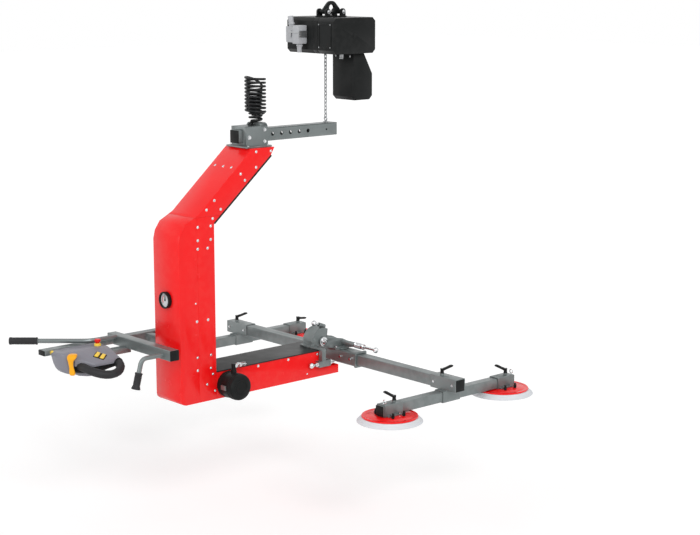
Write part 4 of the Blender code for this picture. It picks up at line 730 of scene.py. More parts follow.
def lifted(tree, shape, height):
    up = vector_of(tree, Z=height)
    return add(tree, "GeometryNodeTransform", {"Geometry": shape, "Translation": up}).outputs["Geometry"]


def cylinder(tree, radius, depth, sides):
    node = add(tree, "GeometryNodeMeshCylinder", {"Radius": radius, "Depth": depth}, {"Vertices": sides})
    return node.outputs["Mesh"]


def circle(tree, radius, steps):
    node = add(tree, "GeometryNodeCurvePrimitiveCircle", {"Radius": radius}, {"Resolution": steps})
    return node.outputs["Curve"]


def join_up(tree, *shapes):
    node = tree.nodes.new("GeometryNodeJoinGeometry")
    for shape in shapes:
        tree.links.new(shape, node.inputs["Geometry"])
    return node.outputs["Geometry"]


def place_copies(tree, start, end, shape, **links):
    """One copy on each point, made real and painted. The links may turn and scale the copies."""
    links = {"Points": start.outputs["Geometry"], "Instance": shape, **links}
    copies = add(tree, "GeometryNodeInstanceOnPoints", links)
    real = add(tree, "GeometryNodeRealizeInstances", {"Geometry": copies.outputs["Instances"]})
    painted = add(tree, "GeometryNodeSetMaterial",
                  {"Geometry": real.outputs["Geometry"], "Material": start.outputs["Material"]})
    tree.links.new(painted.outputs["Geometry"], end.inputs["Geometry"])


def grow(tree, points, slot, **sizes):
    """The tree's result on a mesh of bare points, as a plain mesh."""
    seeds = bpy.data.meshes.new("points")
    seeds.from_pydata([tuple(point) for point in points], [], [])
    obj = bpy.data.objects.new("points", seeds)
    bpy.context.scene.collection.objects.link(obj)
    modifier = obj.modifiers.new("grow", "NODES")
    modifier.node_group = tree
    sizes["Material"] = FINISHES[slot]
    for item in tree.interface.items_tree:
        if item.in_out == "INPUT" and item.name in sizes:
            modifier[item.identifier] = sizes[item.name]
    return settled(obj)


# %% Tree for dome screws
def make_screw_tree():
    """A washer and a low dome with a six-sided socket."""
    tree, start, end = new_tree("dome_screws", Radius="Float", Height="Float", Turn="Vector")
    radius, height = start.outputs["Radius"], start.outputs["Height"]
    washer_height = times(tree, height, 0.3)
    washer = lifted(tree, cylinder(tree, radius, washer_height, 24), times(tree, washer_height, 0.5))
    dome_radius = times(tree, radius, 0.80)
    dome_size = vector_of(tree, X=dome_radius, Y=dome_radius, Z=height)
    ball = add(tree, "GeometryNodeMeshUVSphere", None, {"Segments": 20, "Rings": 12, "Radius": 1.0})
    block = add(tree, "GeometryNodeMeshCube", None, {"Size": (4.0, 4.0, 2.0)})
    upper_half = lifted(tree, scaled(tree, block.outputs["Mesh"], dome_size), times(tree, height, 1.1))
    dome = add(tree, "GeometryNodeMeshBoolean", {"Mesh 2": scaled(tree, ball.outputs["Mesh"], dome_size)},
               operation="INTERSECT", solver="EXACT")
    tree.links.new(upper_half, dome.inputs["Mesh 2"])
    socket = lifted(tree, cylinder(tree, times(tree, radius, 0.36), height, 6), times(tree, height, 1.05))
    head = add(tree, "GeometryNodeMeshBoolean", {"Mesh 1": dome.outputs["Mesh"], "Mesh 2": socket},
               operation="DIFFERENCE", solver="EXACT")
    place_copies(tree, start, end, join_up(tree, washer, head.outputs["Mesh"]),
                 Rotation=turn_from(tree, start.outputs["Turn"]))
    return tree


# %% Tree for hexagon bolts
def make_bolt_tree():
    """A washer under a six-sided head."""
    tree, start, end = new_tree("hexagon_bolts", Radius="Float", Height="Float", Turn="Vector")
    radius, height = start.outputs["Radius"], start.outputs["Height"]
    washer_height = times(tree, height, 0.25)
    washer = cylinder(tree, times(tree, radius, 1.25), washer_height, 24)
    washer = lifted(tree, washer, times(tree, washer_height, 0.5))
    head_middle = calculate(tree, "ADD", washer_height, times(tree, height, 0.5))
    head = lifted(tree, cylinder(tree, radius, height, 6), head_middle)
    place_copies(tree, start, end, join_up(tree, washer, head),
                 Rotation=turn_from(tree, start.outputs["Turn"]))
    return tree


# %% Tree for chain links
def make_link_tree():
    """Round-wire links, each turned a quarter from the one before."""
    tree, start, end = new_tree("chain_links", Wire="Float", Width="Float", Length="Float")
    outline = add(tree, "GeometryNodeCurvePrimitiveQuadrilateral",
                  {"Width": start.outputs["Width"], "Height": start.outputs["Length"]})
    round_off = add(tree, "GeometryNodeFilletCurve",
                    {"Curve": outline.outputs["Curve"], "Radius": times(tree, start.outputs["Width"], 0.499)},
                    {"Count": 7, "Limit Radius": True}, mode="POLY")
    link = add(tree, "GeometryNodeCurveToMesh",
               {"Curve": round_off.outputs["Curve"],
                "Profile Curve": circle(tree, start.outputs["Wire"], 10)})
    upright = add(tree, "GeometryNodeTransform", {"Geometry": link.outputs["Mesh"]},
                  {"Rotation": (math.radians(90), 0, math.radians(90))})
    index = add(tree, "GeometryNodeInputIndex")
    odd = calculate(tree, "MODULO", index.outputs["Index"], 2.0)
    quarter = vector_of(tree, Z=times(tree, odd, math.radians(90)))
    place_copies(tree, start, end, upright.outputs["Geometry"], Rotation=turn_from(tree, quarter))
    return tree


# %% Tree for ribs round a shaft
def make_rib_tree():
    """A round bead bent into a ring."""
    tree, start, end = new_tree("ribs", Radius="Float", Bead="Float", Turn="Vector")
    rib = add(tree, "GeometryNodeCurveToMesh", {"Curve": circle(tree, start.outputs["Radius"], 32),
                                                "Profile Curve": circle(tree, start.outputs["Bead"], 8)})
    place_copies(tree, start, end, rib.outputs["Mesh"], Rotation=turn_from(tree, start.outputs["Turn"]))
    return tree


# %% Tree for small springs
def make_spring_tree():
    """A wire spring that stands on its point."""
    tree, start, end = new_tree("springs", Radius="Float", Wire="Float", Height="Float", Turns="Float")
    radius = start.outputs["Radius"]
    spiral = add(tree, "GeometryNodeCurveSpiral",
                 {"Start Radius": radius, "End Radius": radius, "Height": start.outputs["Height"],
                  "Rotations": start.outputs["Turns"]}, {"Resolution": 14})
    wire = add(tree, "GeometryNodeCurveToMesh",
               {"Curve": spiral.outputs["Curve"], "Profile Curve": circle(tree, start.outputs["Wire"], 6)},
               {"Fill Caps": True})
    place_copies(tree, start, end, wire.outputs["Mesh"])
    return tree


# %% Tree for dial ticks
def make_tick_tree():
    """Ticks round three quarters of a dial, longer at every fourth one."""
    tree, start, end = new_tree("dial_ticks", Radius="Float", Size="Vector", Count="Int")
    index = add(tree, "GeometryNodeInputIndex").outputs["Index"]
    share = calculate(tree, "DIVIDE", index, calculate(tree, "SUBTRACT", start.outputs["Count"], 1.0))
    angle = calculate(tree, "ADD", times(tree, share, math.radians(270)), math.radians(-45))
    line = add(tree, "GeometryNodeMeshLine", {"Count": start.outputs["Count"]}, {"Offset": (0.0, 0.0, 0.0)})
    x = times(tree, start.outputs["Radius"], calculate(tree, "COSINE", angle, 0.0))
    z = times(tree, start.outputs["Radius"], calculate(tree, "SINE", angle, 0.0))
    spots = add(tree, "GeometryNodeSetPosition",
                {"Geometry": line.outputs["Mesh"], "Position": vector_of(tree, X=x, Z=z)})
    tick = add(tree, "GeometryNodeMeshCube", {"Size": start.outputs["Size"]})
    fourth = calculate(tree, "LESS_THAN", calculate(tree, "MODULO", index, 4.0), 0.5)
    length = calculate(tree, "ADD", fourth, 1.0)
    longer = add(tree, "ShaderNodeCombineXYZ", {"X": length}, {"Y": 1.0, "Z": 1.0})
    lean = vector_of(tree, Y=times(tree, angle, -1.0))
    place_copies(tree, start, end, tick.outputs["Mesh"], Points=spots.outputs["Geometry"],
                 Rotation=turn_from(tree, lean), Scale=longer.outputs[0])
    return tree


# %% All trees, and the directions they face
SCREWS = make_screw_tree()
BOLTS = make_bolt_tree()
LINKS = make_link_tree()
RIBS = make_rib_tree()
SPRINGS = make_spring_tree()
TICKS = make_tick_tree()

# Directions along the axes, and the turns that bring a copy's own up to face them.
UP, RIGHT, FAR, NEAR, DOWN = (0, 0, 1), (1, 0, 0), (0, 1, 0), (0, -1, 0), (0, 0, -1)
TO_TOP = (0.0, 0.0, 0.0)
TO_RIGHT = (0.0, math.radians(90), 0.0)
TO_LEFT = (0.0, math.radians(-90), 0.0)
TO_OPERATOR = (math.radians(90), 0.0, 0.0)
TO_FAR = (math.radians(-90), 0.0, 0.0)


def screws(places, turn, radius=0.0055, height=0.0032, slot="bright_steel"):
    return grow(SCREWS, places, slot, Radius=radius, Height=height, Turn=turn)


def bolts(places, turn, radius, height, slot="bright_steel"):
    return grow(BOLTS, places, slot, Radius=radius, Height=height, Turn=turn)


def ribs(places, turn, radius, bead, slot="bright_steel"):
    return grow(RIBS, places, slot, Radius=radius, Bead=bead, Turn=turn)


print("node trees:", len([group for group in bpy.data.node_groups if group.bl_idname == "GeometryNodeTree"]))

# %% [markdown]
# ## Plain parts that only need round edges
# Most tubes, plates and covers have the right shape already. On a real part no edge is knife-sharp,
# and the thin highlight along an edge is what makes metal look like metal.
# So each of these gets a welded, bevelled copy that stands for the CAD piece.

# %% Round the edges of the plain parts
PAD_PLACES = ("front_left", "front_right", "back_left", "back_right")
SIDES = (("left", -1), ("right", 1))
EDGE_WIDTHS = {
    "hoist_motor_cover": 0.0025, "hoist_gear_case": 0.0025, "suspension_bracket": 0.0008,
    "suspension_eye": 0.0012, "connector_box": 0.0008, "chain_container": 0.0012, "load_tube": 0.0016,
    "head_housing": 0.0010,
    "arm_cover": 0.0008, "column_channel": 0.0008, "column_front_cover": 0.0008, "beam_channel": 0.0008,
    "beam_top_cover": 0.0012, "filter_housing": 0.0010, "handle_frame": 0.0010, "beam_end_bracket": 0.0006,
    "tilt_head": 0.0006, "rotation_hub": 0.0008, "traverse_tube": 0.0016, "cross_slider_left": 0.0006,
    "cross_slider_right": 0.0006, "cross_tube_left": 0.0016, "cross_tube_right": 0.0016,
    "suction_button": 0.0006, "release_button": 0.0006, "stop_button": 0.0008,
}
CARRIER_EDGE = 0.0006
SMALL_EDGE = 0.0004
SMALL_PARTS = ("hoist_motor", "chain_wheel", "vacuum_pump", "gauge_case", "control_d_handle", "tilt_plunger",
               "hood_plunger", "rotation_plunger")
for node, width in EDGE_WIDTHS.items():
    dress(node, width)
for place in PAD_PLACES:
    dress("pad_carrier_" + place, CARRIER_EDGE)
for node in SMALL_PARTS:
    dress(node, SMALL_EDGE)
tell("plain parts")

# %% [markdown]
# ## The chain
# A load chain is round wire bent into links, with each link a quarter turn from its neighbour.
# The link is a fillet curve with a round section, so one tree makes the whole chain from a row of points.
# A swivel eye on the load tube holds its lowest link.

# %% Chain with its swivel eye
SWIVEL_PLACE = (0, -0.030, -0.450)
EYE_RADIUS = 0.0075
EYE_WIRE = 0.0025
COLLAR_HEIGHT = 0.0045
LINK_WIRE = 0.0022
LINK_WIDTH = 0.0101
LINK_LENGTH = 0.0186
LINK_STEP = 0.0146
LINK_REACH = 0.0091
LINK_SLACK = 0.0008
CHAIN_TOP_GAP = 0.0095
eye_level = SWIVEL_PLACE[2] + COLLAR_HEIGHT + EYE_RADIUS + EYE_WIRE
first_link = eye_level + EYE_RADIUS - EYE_WIRE - LINK_WIRE + LINK_SLACK + LINK_REACH
chain_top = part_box("load_chain")[1].z
link_count = int((chain_top - CHAIN_TOP_GAP - LINK_WIRE - first_link) / LINK_STEP) + 1
link_places = [(0, SWIVEL_PLACE[1], first_link + index * LINK_STEP) for index in range(link_count)]
links = grow(LINKS, link_places, "steel", Wire=LINK_WIRE, Width=LINK_WIDTH, Length=LINK_LENGTH)
eye = ribs([(0, SWIVEL_PLACE[1], eye_level)], TO_OPERATOR, EYE_RADIUS, EYE_WIRE, "steel")
collar = [(0, 0.0005), (0.0105, 0.0005), (0.0105, 0.0035), (0.0090, COLLAR_HEIGHT), (0.0050, 0.0058),
          (0, 0.0058)]
stem = [(0, -0.0150), (0.0055, -0.0150), (0.0055, 0.0010), (0, 0.0010)]
nut = [(0, -0.0115), (0.0100, -0.0115), (0.0100, -0.0045), (0, -0.0045)]
piece("load_chain_links", "chain", "steel", links, eye, lathe(collar, SWIVEL_PLACE, UP),
      lathe(stem, SWIVEL_PLACE, UP, 24), lathe(nut, SWIVEL_PLACE, UP, 6), stands_for=("load_chain",))
print("chain links:", link_count)

# %% [markdown]
# ## The hoist
# The hoist is a cast black box. A raised lid frame closes its control bay, and screws hold the end cover.
# Its plug has two latches, and the chain container hangs on a clip.
# The lid is a thin slab with a pocket cut by a Boolean, because such a rim has square inner corners.

# %% Hoist lid, screws and cooling fins
SCREW_INSET = 0.022
LID_RIM = 0.006
LID_PROUD = 0.003
FIN_LEVELS = (-0.062, -0.078, -0.094, -0.110, -0.126, -0.142)
FIN_HALF = 0.075
FIN_THICKNESS = 0.004
hoist_low, hoist_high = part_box("hoist_gear_case")
motor_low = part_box("hoist_motor_cover")[0]
lid_left, lid_right = hoist_low.x + 0.034, hoist_high.x - 0.014
lid_bottom, lid_top = hoist_low.z + SCREW_INSET, hoist_high.z - SCREW_INSET
face = hoist_low.y
lid = slab((lid_left, face - LID_PROUD, lid_bottom), (lid_right, face + 0.001, lid_top), 0.0015)
lid_room = slab((lid_left + LID_RIM, face - 2 * LID_PROUD, lid_bottom + LID_RIM),
                (lid_right - LID_RIM, face - LID_PROUD / 2, lid_top - LID_RIM), 0)
piece("hoist_lid", "hoist", "black_coat", carve(lid, [lid_room]))
port_profile = [(0, -0.001), (0.0085, -0.001), (0.0085, 0.0006), (0.0078, 0.0012), (0, 0.0014)]
port_place = (hoist_high.x, 0, (hoist_low.z + hoist_high.z) / 2)
piece("hoist_port_plug", "hoist", "black_coat", lathe(port_profile, port_place, RIGHT, 32))
lid_places = [(x, face - 0.0028, z) for x in (lid_left + 0.004, lid_right - 0.004)
              for z in (lid_bottom + 0.004, lid_top - 0.004)]
motor_places = [(motor_low.x, y, z) for y in (-0.085, 0.085)
                for z in (motor_low.z + SCREW_INSET, hoist_high.z - SCREW_INSET)]
piece("hoist_screws", "hoist", "steel", screws(lid_places, TO_OPERATOR, 0.0024, 0.0014, "steel"),
      screws(motor_places, TO_LEFT, 0.0048, 0.003, "steel"))
fins = [slab((motor_low.x - 0.003, -FIN_HALF, z), (motor_low.x + 0.001, FIN_HALF, z + FIN_THICKNESS), 0.0012)
        for z in FIN_LEVELS]
piece("hoist_fins", "hoist", "black_coat", *fins)

# %% Plug latches and container clip
GLAND_PROFILE = [(0.0108, 0), (0.0128, 0.001), (0.0128, 0.007), (0.0108, 0.008)]
plug_low, plug_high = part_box("connector_box")
latch_level = (plug_low.z + plug_high.z) / 2
latches = [slab((x - 0.002, plug_low.y - 0.0015, latch_level - 0.012),
                (x + 0.002, plug_high.y - 0.002, latch_level + 0.014), 0.0006) for x in (-0.0645, -0.0165)]
latches.append(slab((-0.066, plug_low.y - 0.0030, latch_level + 0.006),
                    (-0.015, plug_low.y - 0.0008, latch_level + 0.011), 0.0008))
piece("plug_latch", "hoist", "steel", *latches)
glands = [lathe(GLAND_PROFILE, (-0.0845, -0.1323, -0.064), (-0.21, 0, 0.98), 6, close=True),
          lathe(GLAND_PROFILE, (-0.038, -0.1323, -0.139), DOWN, 6, close=True)]
piece("plug_gland_nuts", "hoist", "light_grey_plastic", *glands)
box_low, box_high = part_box("chain_container")
clip_face, clip_top = box_low.y, box_high.z
clip = [slab((0.040, clip_face - 0.0022, clip_top - 0.022), (0.062, clip_face + 0.0005, clip_top - 0.003),
             0.0008),
        slab((0.040, clip_face - 0.0045, clip_top - 0.024), (0.062, clip_face - 0.0015, clip_top - 0.019),
             0.001)]
piece("container_clip", "hoist", "steel", *clip)
container_places = [(x, clip_face, clip_top - 0.012) for x in (0.015, 0.100)]
piece("container_screws", "hoist", "steel", screws(container_places, TO_OPERATOR, 0.004, 0.0025, "steel"))

# %% Washers and pin heads on the suspension
pin_heads = [screws([(sign * 0.0318, y, -0.014) for y in (-0.039, 0.039)], turn, 0.0080, 0.003, "steel")
             for sign, turn in ((1, TO_RIGHT), (-1, TO_LEFT))]
piece("suspension_pin_heads", "hoist", "steel", *pin_heads)
tell("hoist details")

# %% [markdown]
# ## End caps
# A cut tube end is sharp and lets dirt in, so each open tube end has a black plastic cap.
# One function makes them all from the tube's size and the direction that its end faces.


# %% Tube end caps
def end_cap(centre, direction, size, proud=0.003, depth=0.010, wall=0.004):
    """A flanged cap: a rounded plate on the end, and a plug inside the square tube."""
    axis = [abs(value) > 0.5 for value in direction].index(True)
    sign = 1 if direction[axis] > 0 else -1
    meshes = []
    for inset, start, stop, edge in ((0.0004, 0.0, proud, 0.0012), (wall, -depth, 0.001, 0.0005)):
        low = [value - size / 2 + inset for value in centre]
        high = [value + size / 2 - inset for value in centre]
        low[axis], high[axis] = sorted((centre[axis] + sign * start, centre[axis] + sign * stop))
        meshes.append(slab(low, high, edge))
    return meshes


LOAD_TUBE_SIZE = 0.050
TRAVERSE_SIZE = 0.045
CROSS_TUBE_SIZE = 0.040
HANDLE_BAR_SIZE = 0.040
HANDLE_BAR_LEVEL = -1.247
CROSSBAR_Y = -0.880
TRAVERSE_Y = 0.030
tube_low, tube_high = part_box("load_tube")
tube_end = (0, tube_low.y, (tube_low.z + tube_high.z) / 2)
piece("load_tube_cap", "load_arm", "black_plastic",
      *end_cap(tube_end, NEAR, LOAD_TUBE_SIZE, 0.004, 0.012, 0.0045))
piece("load_tube_plate", "load_arm", "zinc",
      slab((-0.0245, tube_high.y, tube_low.z + 0.0005), (0.0245, tube_high.y + 0.0025, tube_high.z - 0.0005),
           0.0008))
traverse_low, traverse_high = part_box("traverse_tube")
traverse_level = (traverse_low.z + traverse_high.z) / 2
caps = end_cap((traverse_low.x, TRAVERSE_Y, traverse_level), (-1, 0, 0), TRAVERSE_SIZE)
caps += end_cap((traverse_high.x, TRAVERSE_Y, traverse_level), RIGHT, TRAVERSE_SIZE)
piece("traverse_caps", "hub", "black_plastic", *caps)
for side, sign in SIDES:
    low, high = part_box("cross_tube_" + side)
    middle = (low + high) / 2
    caps = end_cap((middle.x, low.y, middle.z), NEAR, CROSS_TUBE_SIZE)
    caps += end_cap((middle.x, high.y, middle.z), FAR, CROSS_TUBE_SIZE)
    piece("cross_tube_caps_" + side, "cross_" + side, "black_plastic", *caps)
frame_caps = end_cap((0.124, CROSSBAR_Y, HANDLE_BAR_LEVEL), RIGHT, HANDLE_BAR_SIZE)
frame_caps += end_cap((-0.285, CROSSBAR_Y, HANDLE_BAR_LEVEL), (-1, 0, 0), HANDLE_BAR_SIZE)
frame_caps += end_cap((-0.215, -0.590, HANDLE_BAR_LEVEL), FAR, HANDLE_BAR_SIZE - 0.002)
frame_caps.append(slab((-0.2848, -1.2090, -1.2638), (-0.2452, -1.2050, -1.2442), 0.0012))
piece("handle_frame_caps", "frame", "black_plastic", *frame_caps)
tell("end caps")

# %% [markdown]
# ## The column, arm and beam
# The red body is folded sheet, closed by covers. Dome screws hold the covers along each seam.
# The same list of places serves both sides, turned to face outward, and a node tree makes the copies,
# because modelling some fifty screws by hand would give fifty chances of a mistake.

# %% Body screws
SIDE_X = 0.081
SIDE_PLACES = [(-0.451, -0.529), (-0.379, -0.531), (-0.452, -0.588), (-0.527, -0.607), (-0.507, -0.633),
               (-0.653, -0.696), (-0.690, -0.728), (-0.624, -0.732), (-0.662, -0.763), (-0.732, -0.789),
               (-0.672, -0.790), (-0.733, -0.839), (-0.673, -0.841), (-0.734, -0.871), (-0.688, -0.872),
               (-0.743, -1.146), (-0.691, -1.146), (-0.743, -1.285), (-0.680, -1.284), (-0.743, -1.335),
               (-0.681, -1.335), (-0.672, -1.360), (-0.700, -1.396), (-0.663, -1.427)]
BEAM_PLACES = [(-0.452, -1.366), (-0.300, -1.366), (-0.149, -1.368)]
SMALL_PLACES = [(-0.747, -1.077), (-0.202, -1.441)]
ARM_TOP_SLOPE = math.atan2(0.228, 0.260)
body_screws = []
for sign, turn in ((1, TO_RIGHT), (-1, TO_LEFT)):
    body_screws.append(screws([(sign * SIDE_X, y, z) for y, z in SIDE_PLACES + BEAM_PLACES], turn))
    body_screws.append(screws([(sign * SIDE_X, y, z) for y, z in SMALL_PLACES], turn, 0.0035, 0.002))
body_screws.append(screws([(x, -0.5465, -0.5840) for x in (-0.050, 0.0, 0.050)], (ARM_TOP_SLOPE, 0.0, 0.0)))
piece("body_screws", "frame", "bright_steel", *body_screws)

# %% Painted shade: a thin black sheet across the underside of the arm, where shade falls
SHADE_STRIP_HALF = 0.0805
SHADE_STRIP_THICKNESS = 0.007
shade_strip_start = Vector((0, -0.6545, -0.7800))
shade_strip_end = Vector((0, -0.3775, -0.5455))
shade_strip_along = (shade_strip_end - shade_strip_start).normalized()
shade_strip_out = Vector((0, shade_strip_along.z, -shade_strip_along.y))
shade_strip_section = ((-SHADE_STRIP_HALF, 0.0002), (SHADE_STRIP_HALF, 0.0002), (SHADE_STRIP_HALF, SHADE_STRIP_THICKNESS),
                 (-SHADE_STRIP_HALF, SHADE_STRIP_THICKNESS))
shade_strip_rings = [[point + Vector((x, 0, 0)) + shade_strip_out * away for x, away in shade_strip_section]
               for point in (shade_strip_start, shade_strip_end)]
# This black sheet is painted shade under the arm, not a part of its own.
piece("arm_painted_shade_strip", "frame", "black_plastic", loft(shade_strip_rings))
tell("body details")

# %% [markdown]
# ## The vacuum gauge
# A pale dial with ticks sits in a black cup. The ticks come from a node tree,
# and a red band marks where the vacuum is too weak.
# The bands are thin lofts that stand a little off the dial, so that they never flicker with its face.

# %% Dial, ring, ticks and needle
DIAL_FLOOR = -0.8273
DIAL_INK = 0.0006
gauge_low, gauge_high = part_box("gauge_case")
gauge_level = (gauge_low.z + gauge_high.z) / 2
dial = [(0, 0), (0.0272, 0), (0.0272, 0.0004), (0.0016, 0.0004), (0.0016, 0)]
piece("gauge_dial", "frame", "white_rubber", lathe(dial, (0, DIAL_FLOOR, gauge_level), NEAR, 48))
bezel = [(0.0274, 0.0090), (0.0274, 0.0156), (0.0290, 0.0162), (0.0312, 0.0156), (0.0322, 0.0140),
         (0.0322, 0.0100), (0.0300, 0.0090)]
piece("gauge_ring", "frame", "black_plastic", lathe(bezel, (0, -0.8201, gauge_level), NEAR, close=True))
ticks = grow(TICKS, [(0, 0, 0)], "black_plastic", Radius=0.0225, Size=(0.0026, 0.0003, 0.0008), Count=25)
piece("gauge_ticks", "frame", "black_plastic",
      moved(ticks, Matrix.Translation((0, DIAL_FLOOR - 0.0004, gauge_level))))


def dial_band(inner, outer, start, end, steps=24):
    """A thin curved band on the dial, from a start angle to an end angle."""
    rows = []
    for step in range(steps + 1):
        angle = math.radians(start + (end - start) * step / steps)
        across, up = math.cos(angle), math.sin(angle)
        rows.append([Vector((across * radius, DIAL_FLOOR - proud, gauge_level + up * radius))
                     for radius, proud in ((inner, 0), (outer, 0), (outer, DIAL_INK), (inner, DIAL_INK))])
    return loft(rows)


piece("gauge_red_band", "frame", "red_plastic", dial_band(0.0150, 0.0178, 120, 225))
piece("gauge_black_band", "frame", "black_plastic", dial_band(0.0192, 0.0197, -45, 225, 60))
dress("gauge_needle", 0.0002)
tell("gauge")

# %% [markdown]
# ## The filter
# The dust filter is a drum with a ribbed cover, two clips and a barbed nipple for the hose.
# All of it is turned round one axis, so lathes and the rib tree make it.

# %% Filter details
DRUM_MIDDLE = (-0.605, -1.409)
NIPPLE_START = (0.1233, -0.603, -1.3325)
drum_ribs = ribs([(x, *DRUM_MIDDLE) for x in (0.094, 0.103, 0.144, 0.153)], TO_RIGHT, 0.0500, 0.0014,
                 "black_plastic")
piece("filter_ribs", "frame", "black_plastic", drum_ribs)
cover_profile = [(0, 0.0), (0.0465, 0.0), (0.0480, 0.0015), (0.0440, 0.0035), (0.0280, 0.0040),
                 (0.0260, 0.0020), (0, 0.0020)]
piece("filter_cover", "frame", "black_plastic", lathe(cover_profile, (0.1650, *DRUM_MIDDLE), RIGHT))
clip_middles = [DRUM_MIDDLE[0] + offset for offset in (-0.0505, 0.0505)]
filter_clips = [slab((0.112, y - 0.004, -1.418), (0.140, y + 0.004, -1.400), 0.0015) for y in clip_middles]
piece("filter_clips", "frame", "zinc", *filter_clips)
nipple = [(0, 0.0), (0.0088, 0.0), (0.0088, 0.030), (0.0070, 0.034), (0.0070, 0.052), (0.0060, 0.0535),
          (0, 0.0535)]
hose_nut = [(0, 0.012), (0.0112, 0.012), (0.0112, 0.022), (0, 0.022)]
barb_places = [(NIPPLE_START[0], y, NIPPLE_START[2]) for y in (-0.567, -0.562, -0.557, -0.552)]
piece("filter_nipple", "frame", "bright_steel", lathe(nipple, NIPPLE_START, FAR, 32),
      lathe(hose_nut, NIPPLE_START, FAR, 6), ribs(barb_places, TO_FAR, 0.0074, 0.0010))
tell("filter")

# %% [markdown]
# ## Grips
# The grips are dark rubber sleeves with a lip at each end and shallow rings for the hand.
# The sleeve is a lathe along the bent tube's end, and the rings come from the rib tree.

# %% Handle grips
GRIP_RADIUS = 0.0145
TUBE_HOLE = 0.0092
RING_STEP = 0.0052
RING_START = 0.014
LEFT_CORNER = Vector((-0.230, -1.015, -1.232))
LEFT_ALONG = Vector((-math.sin(math.radians(42)), -math.cos(math.radians(42)), 0))
DOWN_CORNER = Vector((0.072, -0.990, -1.251))
DOWN_ALONG = Vector((0, -math.sin(math.radians(15)), -math.cos(math.radians(15))))


def grip(name, node, start, along, length, flare):
    """A rubber sleeve with lips, and rings made by the rib tree."""
    hand = GRIP_RADIUS - 0.0012
    mouth = GRIP_RADIUS + flare
    profile = [(TUBE_HOLE, 0), (GRIP_RADIUS - 0.0006, 0), (GRIP_RADIUS, 0.0008), (GRIP_RADIUS, 0.004),
               (hand, 0.0065), (hand, length - 0.014), (GRIP_RADIUS - 0.0002 + flare * 0.5, length - 0.007),
               (mouth, length - 0.002), (mouth - 0.002, length), (0, length)]
    count = int((length - 0.030) / RING_STEP)
    places = [start + along * (RING_START + index * RING_STEP) for index in range(count)]
    turn = tuple(along.to_track_quat("Z", "Y").to_euler())
    rings = ribs(places, turn, GRIP_RADIUS - 0.0013, 0.0009, "grip_rubber")
    piece(name, "frame", "grip_rubber", lathe(profile, start, along, 48), rings, stands_for=(node,))


grip("left_grip_sleeve", "left_grip", LEFT_CORNER + LEFT_ALONG * 0.200, LEFT_ALONG, 0.107, 0.0)
grip("down_grip_sleeve", "down_grip", DOWN_CORNER + DOWN_ALONG * 0.052, DOWN_ALONG, 0.062, 0.003)

# %% [markdown]
# ## The control unit
# The control unit is a moulded shell in two halves. Its upper half is grey and has pockets for the buttons,
# so the pockets are cut with a Boolean, and the lower half is dark.
# The shell is a row of cross sections from its near end to its far end. Each one has a flat top,
# a sloping face toward the right, a short side and a rounded belly.

# %% Sections of the control unit
UNIT_LEFT = -0.2447
UNIT_TOP = -1.2430
UNIT_NEAR = -1.1850
UNIT_RIGHT = -0.0750
SLOPE_WIDTH = 0.090
SLOPE_START = UNIT_RIGHT - SLOPE_WIDTH
SLOPE_FALL = math.atan2(0.034, SLOPE_WIDTH)
CORNER_CUT = 0.087
SPLIT_LEVEL = -1.2900
EDGE_ROUND = 0.008
BREAK_ROUND = 0.006
FOOT_WIDTH = 0.055
FOOT_CURVE = ((1.0, 0.0), (0.65, 0.006), (0.33, 0.020), (0.11, 0.037))


def slope_level(x):
    """The height of the top or of the sloping face."""
    return UNIT_TOP - max(x - SLOPE_START, 0) * math.tan(SLOPE_FALL)


def right_side(y):
    """Where the shell's right side is: the cut corner near the lever, then straight."""
    return min(UNIT_RIGHT, UNIT_RIGHT - CORNER_CUT + (y - UNIT_NEAR))


def section(y, inset, bottom=SPLIT_LEVEL, round_foot=False):
    """A ring of points round the shell at y, pulled in all round by inset."""
    left, right, top = UNIT_LEFT + inset, right_side(y) - inset, UNIT_TOP - inset
    edge = min(EDGE_ROUND, (right - left) / 6)
    bend = min(SLOPE_START, right - edge * 2)
    after_bend, before_side = bend + BREAK_ROUND, right - edge
    side_top = slope_level(right) - inset
    outline = [(left, top - edge), (left + edge * 0.3, top - edge * 0.3), (left + edge, top),
               (bend - BREAK_ROUND, top), (after_bend, slope_level(after_bend) - inset),
               (before_side, slope_level(before_side) - inset), (right - edge * 0.3, side_top - edge * 0.25),
               (right, side_top - edge), (right, min(SPLIT_LEVEL, bottom + edge * 1.5)),
               (right - edge * 0.4, bottom + edge * 0.4), (right - edge * 1.5, bottom)]
    if round_foot:
        foot = min(FOOT_WIDTH, (right - left) * 0.55)
        outline += [(left + foot * share, bottom + rise) for share, rise in FOOT_CURVE]
    else:
        outline += [(left + edge * 2, bottom), (left + edge, bottom + edge * 0.2),
                    (left + edge * 0.5, bottom + edge * 0.5), (left, bottom + edge * 2)]
    return [Vector((x, y, z)) for x, z in outline]


def rounded_rectangle(y, x_low, x_high, z_low, z_high, corner, steps=5):
    """A ring of points on (x, z) with round corners."""
    points = []
    for x, z, start in ((x_high - corner, z_high - corner, 0), (x_low + corner, z_high - corner, 90),
                        (x_low + corner, z_low + corner, 180), (x_high - corner, z_low + corner, 270)):
        for step in range(steps + 1):
            angle = math.radians(start + 90 * step / steps)
            points.append(Vector((x + corner * math.cos(angle), y, z + corner * math.sin(angle))))
    return points


# %% Shells of the control unit
NEAR_END = -1.1530
SEAM_WIDTH = 0.0022
SEAM_DEPTH = 0.0025
# Each row: distance from the near end, how far the ring is pulled in, and its lowest level.
NEAR_ROWS = [(0.0, 0.014, -1.2960), (0.0012, 0.008, -1.3050), (0.0050, 0.003, -1.3120),
             (0.0120, 0.0008, -1.3180), (0.0230, 0.0, -1.3220), (NEAR_END - UNIT_NEAR, 0.0, -1.3230)]
